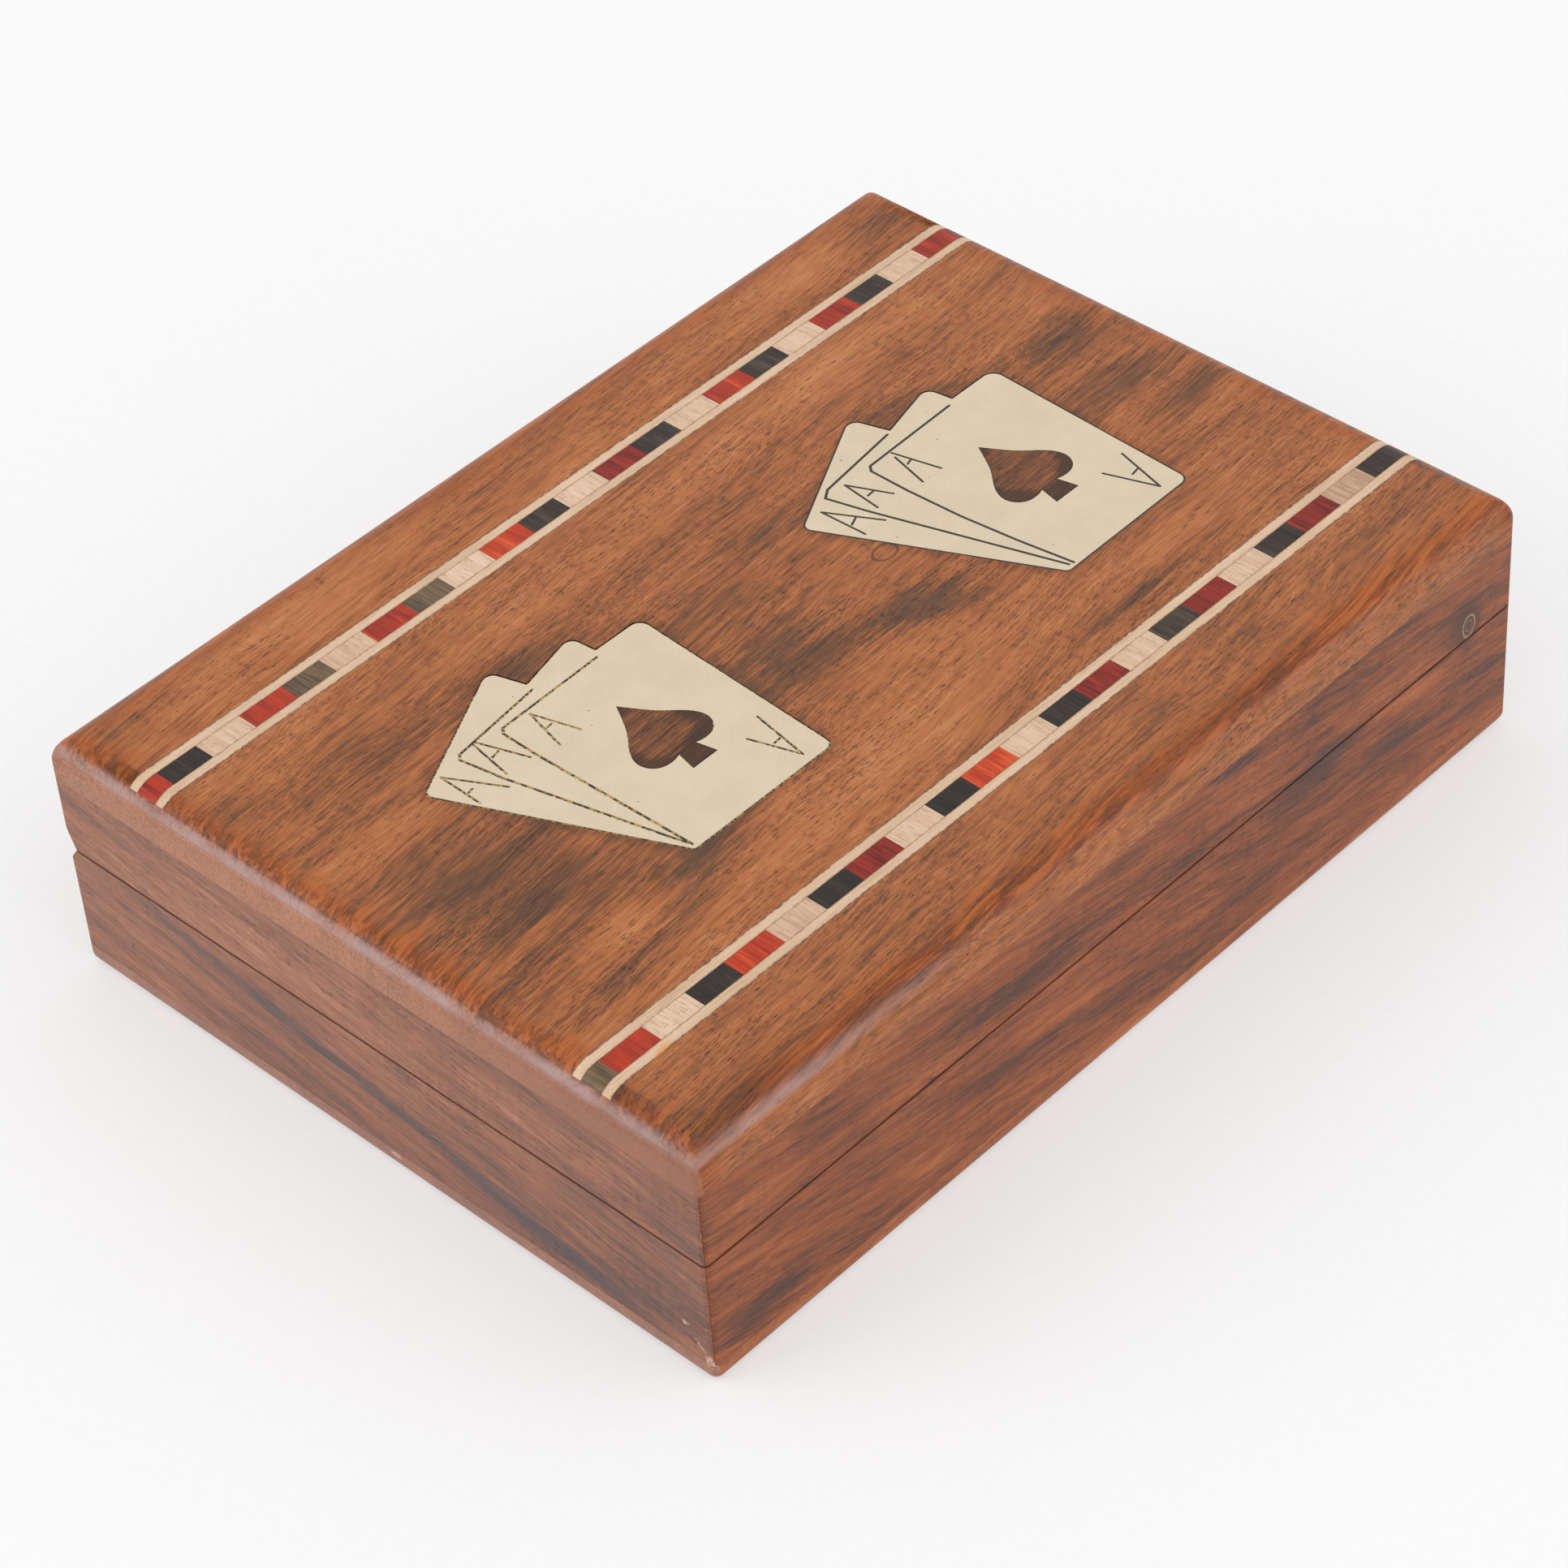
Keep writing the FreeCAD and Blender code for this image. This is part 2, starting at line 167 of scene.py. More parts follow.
def finish(piece, body, nodes=(), smooth=35):
    # clean mesh, smooth roundings beside flat faces, and its place in the model
    editWhole(piece)
    bpy.ops.mesh.remove_doubles(threshold=2 * hair)
    bpy.ops.mesh.normals_make_consistent(inside=False)
    bpy.ops.object.mode_set(mode="OBJECT")
    bpy.ops.object.shade_smooth_by_angle(angle=math.radians(smooth))
    modifier = piece.modifiers.new("Weighted Normal", "WEIGHTED_NORMAL")
    modifier.keep_sharp = True
    bpy.ops.object.modifier_apply(modifier=modifier.name)
    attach(piece, body)
    if nodes:
        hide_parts(*nodes)
    return piece


# Outside shapes of the lid and the base: everything that shows is sawn from these two

boxShape = {
    "topRounding": 3.8 * mm,
    "topSteps": 10,
    "footRounding": 1.6 * mm,
    "footSteps": 5,
    "cornerRounding": 0.8 * mm,
    "cornerSteps": 4,
    "wall": 7.5 * mm,
    "lidRelief": (1.9 * mm, 4.7 * mm),      # how deep and how tall the hinge side is planed off
    "baseRelief": (1.7 * mm, 2.4 * mm),
    "rimArris": 0.1 * mm,
    "innerArris": 0.4 * mm,
    "arrisSteps": 3,
    "mitreArris": 0.06 * mm,
}
panelLow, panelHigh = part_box("lid_panel")
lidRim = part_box("lid_front_wall")[0].z
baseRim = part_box("base_front_wall")[1].z
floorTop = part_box("base_bottom")[1].z
panelUnder = panelLow.z
innerX = panelHigh.x - boxShape["wall"]
innerY = panelHigh.y - boxShape["wall"]


def roundedForm(name, low, high, topWidth, footWidth, relief, reliefEdge):
    form = addBlock(name, low, high)
    reliefDepth, reliefHeight = relief
    bpy.context.view_layer.update()
    if reliefEdge == "bottom":
        cutAway(form, (0, high.y - reliefDepth, low.z), (0, reliefHeight, -reliefDepth))
    else:
        cutAway(form, (0, high.y - reliefDepth, high.z), (0, reliefHeight, reliefDepth))
    if topWidth:
        bevelEdges(form, lambda e: abs(middleOf(e).z - high.z) < hair and (
            abs(abs(middleOf(e).x) - high.x) < hair or abs(abs(middleOf(e).y) - high.y) < hair),
            topWidth, boxShape["topSteps"])
    if footWidth:
        bevelEdges(form, lambda e: abs(middleOf(e).z - low.z) < hair,
                   footWidth, boxShape["footSteps"])

    def atCorner(edge):
        if along(edge, 0) or along(edge, 1):
            return False
        ends = [v.co for v in edge.verts]
        return all(abs((high.x - abs(c.x)) - (high.y - abs(c.y))) < looseHair for c in ends)
    bevelEdges(form, atCorner, boxShape["cornerRounding"], boxShape["cornerSteps"])
    return form


lidForm = roundedForm(
    "lidForm", Vector((panelLow.x, panelLow.y, lidRim)), panelHigh,
    boxShape["topRounding"], 0, boxShape["lidRelief"], "bottom")
baseForm = roundedForm(
    "baseForm", Vector((panelLow.x, panelLow.y, 0)), Vector((panelHigh.x, panelHigh.y, baseRim)),
    0, boxShape["footRounding"], boxShape["baseRelief"], "top")
print("outside shapes made")


# Walls of the lid and the base, mitred at the corners

outward = {"front": Vector((0, -1, 0)), "right": Vector((1, 0, 0)),
           "back": Vector((0, 1, 0)), "left": Vector((-1, 0, 0))}
corner = Vector((panelHigh.x, panelHigh.y, 0))
inside = Vector((innerX, innerY, 0))


def sawWall(form, name, side, low, high):
    wall = copyOf(form, name)
    out = outward[side]
    formLow, formHigh = form.bound_box[0][2], form.bound_box[6][2]
    if high < formHigh - looseHair:
        cutAway(wall, (0, 0, high), (0, 0, 1))
    if low > formLow + looseHair:
        cutAway(wall, (0, 0, low), (0, 0, -1))
    cutAway(wall, out * abs(out.dot(inside)), -out)
    sideways = Vector((abs(out.y), abs(out.x), 0))
    ends = []
    for end in (sideways, -sideways):
        point = (out + end) * corner
        cutAway(wall, point, end - out)
        ends.append((point, (end - out).normalized()))

    def onMitre(edge):
        for point, normal in ends:
            flat = all(abs((v.co - point).dot(normal)) < hair for v in edge.verts)
            if flat and along(edge, 2) and out.dot(middleOf(edge)) > abs(out.dot(corner)) - mm:
                return True
        return False
    bevelEdges(wall, onMitre, boxShape["mitreArris"], 1)
    return wall


def easeRim(wall, side, rim):
    # takes the sharpness off the long edges where the lid closes on the base
    out = outward[side]
    long = 0 if out.y else 1

    def onRim(edge, far):
        here = middleOf(edge)
        if abs(here.z - rim) > hair or not along(edge, long):
            return False
        past = abs(out.dot(here)) - abs(out.dot(inside))
        return past > boxShape["wall"] / 2 if far else past < looseHair
    bevelEdges(wall, lambda e: onRim(e, True), boxShape["rimArris"], boxShape["arrisSteps"])
    bevelEdges(wall, lambda e: onRim(e, False), boxShape["innerArris"], boxShape["arrisSteps"])


walls = {}
for side in outward:
    name = side.capitalize() + "Wall"
    walls["lid_" + side] = sawWall(lidForm, "lid" + name, side, lidRim, panelUnder)
    easeRim(walls["lid_" + side], side, lidRim)
    walls["base_" + side] = sawWall(baseForm, "base" + name, side, floorTop, baseRim)
    easeRim(walls["base_" + side], side, baseRim)
print("walls sawn")


# Hinge seats in the two back walls

hingeShape = {
    "slide": 0.1 * mm,
    "space": 0.25 * mm,
    "leaf": 0.8 * mm,
    "holeRadius": 0.63 * mm,
    "screwReach": 5.6 * mm,
    "screwFromMiddle": 7.5 * mm,
}


def hingeSeat(leaf, pin, screws, half):
    # the cutters for one leaf's recess, the knuckles' groove and the two screw holes
    low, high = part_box(leaf)
    pinLow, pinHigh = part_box(pin)
    axis = (pinLow + pinHigh) / 2
    rim, up = (baseRim, 1) if half == "base" else (lidRim, -1)
    knuckle = (high.z - axis.z) if half == "base" else (axis.z - low.z)
    slide, space = hingeShape["slide"], Vector((hingeShape["space"], 0, 0))
    plate = sorted((rim + up * clear, rim - up * hingeShape["leaf"]))
    tools = [
        addBlock("mortise", (low.x - slide, low.y - slide, plate[0]),
                 (high.x + slide, panelHigh.y + clear, plate[1])),
        addRod("room", Vector((pinLow.x, axis.y, axis.z)) - space,
               Vector((pinHigh.x, axis.y, axis.z)) + space, knuckle + space.x, 40)]
    screwLow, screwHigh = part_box(screws)
    for sign in (-1, 1):
        top = Vector((axis.x + sign * hingeShape["screwFromMiddle"],
                      (screwLow.y + screwHigh.y) / 2, rim))
        tools.append(addRod("hole", top, top - Vector((0, 0, up * hingeShape["screwReach"])),
                            hingeShape["holeRadius"], 20))
    return tools


for half in ("base", "lid"):
    for hand in ("left", "right"):
        for tool in hingeSeat(hand + "_hinge_" + half + "_leaf", hand + "_hinge_pin",
                              half + "_hinge_screws", half):
            combine(walls[half + "_back"], tool)
print("hinge seats cut")


# Divider and its grooves

dividerLow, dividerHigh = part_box("base_divider")
dividerShape = {"slide": 0.1 * mm, "scoopRadius": 12 * mm, "scoopSteps": 96,
                "edge": 0.5 * mm, "edgeSteps": 3}
for side in ("front", "back"):
    slide = dividerShape["slide"]
    ends = sorted(outward[side].y * reach for reach in (dividerHigh.y + slide, innerY - clear))
    groove = addBlock("groove", (dividerLow.x - slide, ends[0], -mm),
                      (dividerHigh.x + slide, ends[1], baseRim + clear))
    combine(walls["base_" + side], groove)

divider = addBlock("divider", dividerLow, dividerHigh)
scoop = addRod("scoop", Vector((dividerLow.x - mm, 0, baseRim)),
               Vector((dividerHigh.x + mm, 0, baseRim)),
               dividerShape["scoopRadius"], dividerShape["scoopSteps"])
combine(divider, scoop)


def onDividerTop(edge):
    here = middleOf(edge)
    atFace = all(abs(abs(v.co.x) - dividerHigh.x) < hair for v in edge.verts)
    return atFace and here.z > dividerLow.z + mm and abs(here.y) < dividerHigh.y - looseHair


bevelEdges(divider, onDividerTop, dividerShape["edge"], dividerShape["edgeSteps"])
print("divider made")


# Floor board and top board

floorBoard = copyOf(baseForm, "floorBoard")
cutAway(floorBoard, (0, 0, floorTop), (0, 0, 1))
topBoard = copyOf(lidForm, "topBoard")
cutAway(topBoard, (0, 0, panelUnder), (0, 0, -1))

bandShape = {"blockWidth": 3.3 * mm, "arris": 0.04 * mm,
             "lengths": {"red": 7.1 * mm, "black": 6.5 * mm, "white": 7.2 * mm},
             "back": {"first": 4.5 * mm, "order": ("red", "black", "white")},
             "front": {"first": 4.2 * mm, "order": ("black", "red", "white")}}
above = panelHigh.z + clear
bandParts = []
bandStarts = {"back": {}, "front": {}}
for where in ("back", "front"):
    lows, highs = zip(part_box(where + "_band_outer_string"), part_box(where + "_band_inner_string"))
    channelLow = min(lows[0].y, lows[1].y)
    channelHigh = max(highs[0].y, highs[1].y)
    floorOfBand = lows[0].z
    channel = addBlock("channel", (-panelHigh.x - clear, channelLow, floorOfBand),
                       (panelHigh.x + clear, channelHigh, above))
    combine(topBoard, channel)
    for line in ("outer", "inner"):
        low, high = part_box(where + "_band_" + line + "_string")
        strip = addBlock(where + "Band" + line.capitalize() + "String",
                         (low.x - mm, low.y, low.z), (high.x + mm, high.y, above))
        combine(strip, lidForm, "INTERSECT", keep=True)
        bandParts.append((strip, where, line, where + "_band_" + line + "_string"))
    middle = (channelLow + channelHigh) / 2
    bandMiddle = abs(middle)
    order = bandShape[where]["order"]
    spans = {kind: [] for kind in bandShape["lengths"]}
    start, turn = -panelHigh.x, 0
    end = start + bandShape[where]["first"]
    while start < panelHigh.x:
        spans[order[turn % 3]].append((start, end))
        turn += 1
        start = end
        end = start + bandShape["lengths"][order[turn % 3]]
    for colour, places in spans.items():
        bandStarts[where][colour] = [start for start, end in places]
        blocks = []
        for start, end in places:
            flatHalf = panelHigh.x - boxShape["topRounding"]
            atEnd = start < -flatHalf or end > flatHalf
            half = bandShape["blockWidth"] / 2
            block = addBlock("block", (start, middle - half, floorOfBand),
                             (end, middle + half, above if atEnd else panelHigh.z))
            if atEnd:
                combine(block, lidForm, "INTERSECT", keep=True)
            else:
                bevelEdges(block, lambda e: along(e, 1) and middleOf(e).z > floorOfBand + hair,
                           bandShape["arris"], 1)
            blocks.append(block)
        name = where + "Band" + colour.capitalize() + "Blocks"
        row = join(blocks, name)
        bandParts.append((row, where, colour, where + "_band_" + colour + "_blocks"))
print("bands laid")


# Brass fans: the pocket each lies in, and the black lac round it and in its engraving

fanShape = {"gap": 0.26 * mm, "merge": 0.25 * mm, "lacLift": 0.05 * mm,
            "lacBelow": {"left": 0.16 * mm, "right": 0.07 * mm}}


def fanPrism(name, fan, spade, bottom, top, margin):
    # the outline of the brass, taken from its underside, grown by the margin and stood up
    low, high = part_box(fan)
    spadeLow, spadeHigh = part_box(spade)
    prism = copyOfNode(fan, name)
    pick(prism, "FACE", lambda f: f.normal.z > -0.99
         or f.calc_center_median().z > low.z + looseHair)
    bpy.ops.mesh.delete(type="FACE")
    bpy.ops.object.mode_set(mode="OBJECT")

    def outline(edge):
        here = middleOf(edge)
        inSpade = (spadeLow.x - mm < here.x < spadeHigh.x + mm
                   and spadeLow.y - mm < here.y < spadeHigh.y + mm)
        return edge.is_boundary and not inSpade
    pick(prism, "EDGE", outline)
    bpy.ops.mesh.select_all(action="INVERT")
    bpy.ops.mesh.delete(type="EDGE")
    bpy.ops.mesh.select_all(action="SELECT")
    bpy.ops.mesh.remove_doubles(threshold=fanShape["merge"])   # so that tight corners can grow
    bpy.ops.mesh.select_all(action="SELECT")
    bpy.ops.mesh.edge_face_add()
    bpy.ops.mesh.extrude_region_move(TRANSFORM_OT_translate={"value": (0, 0, above - low.z)})
    bpy.ops.mesh.select_all(action="SELECT")
    bpy.ops.mesh.normals_make_consistent(inside=False)
    bpy.ops.transform.shrink_fatten(value=margin, use_even_offset=True)
    bpy.ops.object.mode_set(mode="OBJECT")
    for vertex in prism.data.vertices:
        vertex.co.z = bottom if vertex.co.z < panelHigh.z - mm else top
    return prism


lacFills = {}
for hand in ("left", "right"):
    fan, spade = hand + "_brass_fan", hand + "_spade_insert"
    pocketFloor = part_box(fan)[0].z
    pocket = fanPrism("pocket", fan, spade, pocketFloor, above, fanShape["gap"])
    combine(topBoard, pocket)
    lac = fanPrism(hand + "LacFilling", fan, spade, pocketFloor + fanShape["lacLift"],
                   panelHigh.z - fanShape["lacBelow"][hand], fanShape["gap"] * 0.97)
    combine(lac, copyOfNode(fan, "cutter"))
    combine(lac, copyOfNode(spade, "cutter"))
    lacFills[hand] = lac
print("fans let in")


# Felt linings, cut square and glued down

feltShape = {"step": 2.5 * mm, "softEdge": 0.3 * mm, "softSteps": 2,
             "unevenness": 0.035 * mm, "evenMargin": 1.5 * mm}


def feltSheet(node, name, faceUp):
    low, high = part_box(node)
    felt = addBlock(name, low, high)
    show = high.z if faceUp else low.z
    bevelEdges(felt, lambda e: abs(middleOf(e).z - show) < hair,
               feltShape["softEdge"], feltShape["softSteps"])
    middle = (low + high) / 2
    for axis in (0, 1):
        normal = Vector((1, 0, 0)) if axis == 0 else Vector((0, 1, 0))
        steps = int((high[axis] - low[axis]) / feltShape["step"])
        for step in range(1, steps):
            point = middle.copy()
            point[axis] = low[axis] + (high[axis] - low[axis]) * step / steps
            editWhole(felt)
            bpy.ops.mesh.bisect(plane_co=point, plane_no=normal)
            bpy.ops.object.mode_set(mode="OBJECT")
    margin = feltShape["evenMargin"]

    def onShow(face):
        here = face.calc_center_median()
        return (abs(here.z - show) < hair and low.x + margin < here.x < high.x - margin
                and low.y + margin < here.y < high.y - margin)
    pick(felt, "FACE", onShow)
    bpy.ops.transform.vertex_random(offset=feltShape["unevenness"], uniform=0, normal=1, seed=4)
    bpy.ops.object.mode_set(mode="OBJECT")
    return felt


linings = {
    "left_well_lining": feltSheet("left_well_lining", "leftWellLining", True),
    "right_well_lining": feltSheet("right_well_lining", "rightWellLining", True),
    "lid_lining": feltSheet("lid_lining", "lidLining", False),
}
print("linings cut")


# Materials: colours are written as sRGB hex, sizes in millimetres of the real thing

def linear(hexColour):
    parts = [int(hexColour[i:i + 2], 16) / 255 for i in (1, 3, 5)]
    return [c / 12.92 if c <= 0.04045 else ((c + 0.055) / 1.055) ** 2.4 for c in parts] + [1.0]


def addNode(tree, kind, inputs=(), stops=(), **settings):
    # a socket takes a value, a hex colour, a socket, or a node, whose first output it then reads
    node = tree.nodes.new("ShaderNode" + kind)
    for name, value in settings.items():
        setattr(node, name, value)
    for index, (position, colour) in enumerate(stops):
        elements = node.color_ramp.elements
        stop = elements[index] if index < len(elements) else elements.new(position)
        stop.position = position
        stop.color = linear(colour)
    for name, value in inputs.items() if isinstance(inputs, dict) else enumerate(inputs):
        socket = node.inputs[name]
        if isinstance(value, bpy.types.Node):
            value = next(output for output in value.outputs if output.enabled)
        if isinstance(value, bpy.types.NodeSocket):
            tree.links.new(value, socket)
        else:
            socket.default_value = linear(value) if isinstance(value, str) else value
    return node


colours = {"data_type": "RGBA"}                   # what a Mix node mixes
softly = {"interpolation_type": "SMOOTHSTEP"}     # how a Map Range node goes up


def newMaterial(name):
    # also its node tree and a place pattern in which one unit is one millimetre of the box
    material = bpy.data.materials.new(name)
    material.use_nodes = True
    tree = material.node_tree
    tree.nodes.clear()
    place = addNode(tree, "TexCoord").outputs["Object"]
    return material, tree, addNode(tree, "Mapping", {"Vector": place, "Scale": (1 / mm,) * 3})


def surface(tree, relief, reliefDepth, looks):
    bump = addNode(tree, "Bump", {"Height": relief, "Strength": 1.0, "Distance": reliefDepth})
    shader = addNode(tree, "BsdfPrincipled", {**looks, "Normal": bump})
    addNode(tree, "OutputMaterial", {"Surface": shader})


patternStep = (3.1, 2.2, 4.0)   # sets the patterns of one material apart


def patterns(tree, spot, sizes):
    # a cloudy pattern for each name, from how big its patches are in mm along x, y and z
    made = {}
    for index, (name, (x, y, z, octaves)) in enumerate(sizes.items()):
        stretched = addNode(tree, "Mapping", {
            "Vector": spot, "Scale": (1 / x, 1 / y, 1 / z),
            "Location": tuple(index * step for step in patternStep)})
        made[name] = addNode(tree, "TexNoise", {
            "Vector": stretched, "Scale": 1.0, "Detail": octaves, "Roughness": 0.6})
    return made


def mixed(tree, middle, made, weights):
    # patterns added up about a middle value, each by its weight
    total = middle - sum(weights.values()) / 2
    for name, weight in weights.items():
        total = addNode(tree, "Math", (made[name], weight, total), operation="MULTIPLY_ADD")
    return total


def lineWhere(tree, value, place, reach, strength):
    # a line where the value is at that place, gone at that reach
    off = addNode(tree, "Math", (value, place), operation="SUBTRACT")
    off = addNode(tree, "Math", (off,), operation="ABSOLUTE")
    return addNode(tree, "MapRange", (off, reach, reach * 0.3, 0.0, strength), **softly)


def ovals(tree, spot, places, total):
    # soft oval patches: x, y, half length, half width, turn in degrees, how much they add
    for x, y, length, width, turn, strength in places:
        oval = addNode(tree, "Mapping", {
            "Vector": spot, "Location": (x, y, 0), "Rotation": (0, 0, math.radians(turn)),
            "Scale": (length, width, noLimit)}, vector_type="TEXTURE")
        inside = addNode(tree, "TexGradient", (oval,), gradient_type="SPHERICAL")
        total = addNode(tree, "Math", (inside.outputs["Fac"], strength, total),
                        operation="MULTIPLY_ADD")
    return total


# Sheesham, planed, sanded and finished with a thin satin varnish: brown heartwood with smoky
# bands, open pores that show as fine dark dashes along the grain, and combed fibres. The
# real fibres are a tenth of a millimetre wide; they are drawn three times as coarse to show.

sheeshamLook = {
    "colours": ((0.0, "#27140B"), (0.2, "#4F3322"), (0.38, "#7C4C2E"), (0.52, "#A66238"),
                (0.66, "#B97447"), (0.85, "#CA8A5A"), (1.0, "#DCA478")),
    "sizes": {"band": (100, 9, 9, 4), "streak": (30, 1.4, 1.4, 4), "comb": (9, 0.5, 0.5, 3),
              "fibre": (4, 0.3, 0.3, 2), "ripple": (1.2, 4.5, 4.5, 1), "cloud": (16, 9, 16, 2)},
    "weights": {"band": 0.3, "streak": 0.36, "comb": 0.4, "fibre": 0.5, "ripple": 0.08,
                "cloud": 0.2},
    "turn": (0, 0, 0), "offset": (0, 0, 0), "tone": 0.02,
    "sway": (60, 26, 26, 2), "waver": 7.0,     # how the grain wanders, and how far in mm
    "pores": ((2.2, 0.24, 0.02), (1.2, 0.2, -0.04)),   # length, width, how many more
    "poreEdge": (0.42, 0.16), "poreCrowds": (22, 6, 6, 3), "crowding": (3.2, -1.2),
    "poreColour": "#2B1910", "poreDark": 0.62,
    "smokeTurn": (0, 0, 0), "smoke": (), "smokeColour": "#6C503E",
    "smokeGrey": (-0.04, -0.34, 0.0, 0.5),     # from which darkness to which, and how grey
    "frayed": (26, 0.8, 26, 4), "frayReach": (26, 4, 0),
    "raised": {"pore": -1.0, "comb": 0.4, "fibre": 0.3}, "relief": 0.02 * mm,
    "roughness": 0.36, "dulled": {"streak": 0.2}, "specular": 0.22,
}


def inRadians(turns):
    return tuple(math.radians(turn) for turn in turns)


def sheesham(name, look, stain=None, marks=None):
    look = {**sheeshamLook, **look}
    material, tree, spot = newMaterial(name)
    grain = addNode(tree, "Mapping", {
        "Vector": spot, "Rotation": inRadians(look["turn"]), "Location": look["offset"]})
    sway = patterns(tree, grain, {"sway": look["sway"]})["sway"].outputs["Color"]
    sway = addNode(tree, "VectorMath", (sway, (0.5, 0.5, 0.5)), operation="SUBTRACT")
    bent = addNode(tree, "VectorMath", (sway, (0, look["waver"], look["waver"]), grain),
                   operation="MULTIPLY_ADD")
    made = patterns(tree, bent, look["sizes"])
    tone = mixed(tree, 0.5 + look["tone"], made, look["weights"])

    # smoky and pale places, frayed along the grain and greyer where they are dark
    smoke = 0.0
    if look["smoke"]:
        flat = addNode(tree, "Mapping", {
            "Vector": spot, "Rotation": inRadians(look["smokeTurn"])})
        fray = patterns(tree, flat, {"fray": look["frayed"]})["fray"].outputs["Color"]
        fray = addNode(tree, "VectorMath", (fray, (0.5, 0.5, 0.5)), operation="SUBTRACT")
        flat = addNode(tree, "VectorMath", (fray, look["frayReach"], flat),
                       operation="MULTIPLY_ADD")
        smoke = ovals(tree, flat, look["smoke"], smoke)
    if stain:
        smoke = stain(tree, spot, smoke)
    tone = addNode(tree, "Math", (tone, smoke), operation="ADD")
    colour = addNode(tree, "ValToRGB", (tone,), look["colours"])
    if look["smoke"]:
        grey = addNode(tree, "MapRange", (smoke, *look["smokeGrey"]), **softly)
        colour = addNode(tree, "Mix", {0: grey, 6: colour, 7: look["smokeColour"]}, **colours)

    # open pores, crowded in some places and few in others
    crowd = patterns(tree, grain, {"crowd": look["poreCrowds"]})["crowd"]
    many, few = look["crowding"]
    depth = 0.0
    for length, width, more in look["pores"]:
        cells = addNode(tree, "Mapping", {
            "Vector": bent, "Scale": (1 / length, 1 / width, 1 / width),
            "Location": (width, length, 0)})
        cell = addNode(tree, "TexVoronoi", {"Vector": cells, "Scale": 1.0})
        dash = addNode(tree, "MapRange", (cell, *look["poreEdge"]), **softly)
        chance = addNode(tree, "SeparateColor", (cell.outputs["Color"],))
        kept = addNode(tree, "Math", (crowd, many, more + few), operation="MULTIPLY_ADD")
        kept = addNode(tree, "Math", (kept, chance), operation="SUBTRACT")
        kept = addNode(tree, "MapRange", (kept, 0.0, 0.1), **softly)
        depth = addNode(tree, "Math", (dash, kept, depth), operation="MULTIPLY_ADD")
    pore = addNode(tree, "Math", (depth, look["poreDark"]), operation="MULTIPLY", use_clamp=True)
    colour = addNode(tree, "Mix", {0: pore, 6: colour, 7: look["poreColour"]}, **colours)
    if marks:
        colour = marks(tree, spot, colour, made)
    relief = mixed(tree, 0.5, {**made, "pore": pore}, look["raised"])
    dull = mixed(tree, look["roughness"], made, look["dulled"])
    surface(tree, relief, look["relief"], {
        "Base Color": colour, "Roughness": dull, "IOR": 1.5,
        "Specular IOR Level": look["specular"]})
    return material


# Top board: smoky round the brass, burnt orange just inside its rounded edges

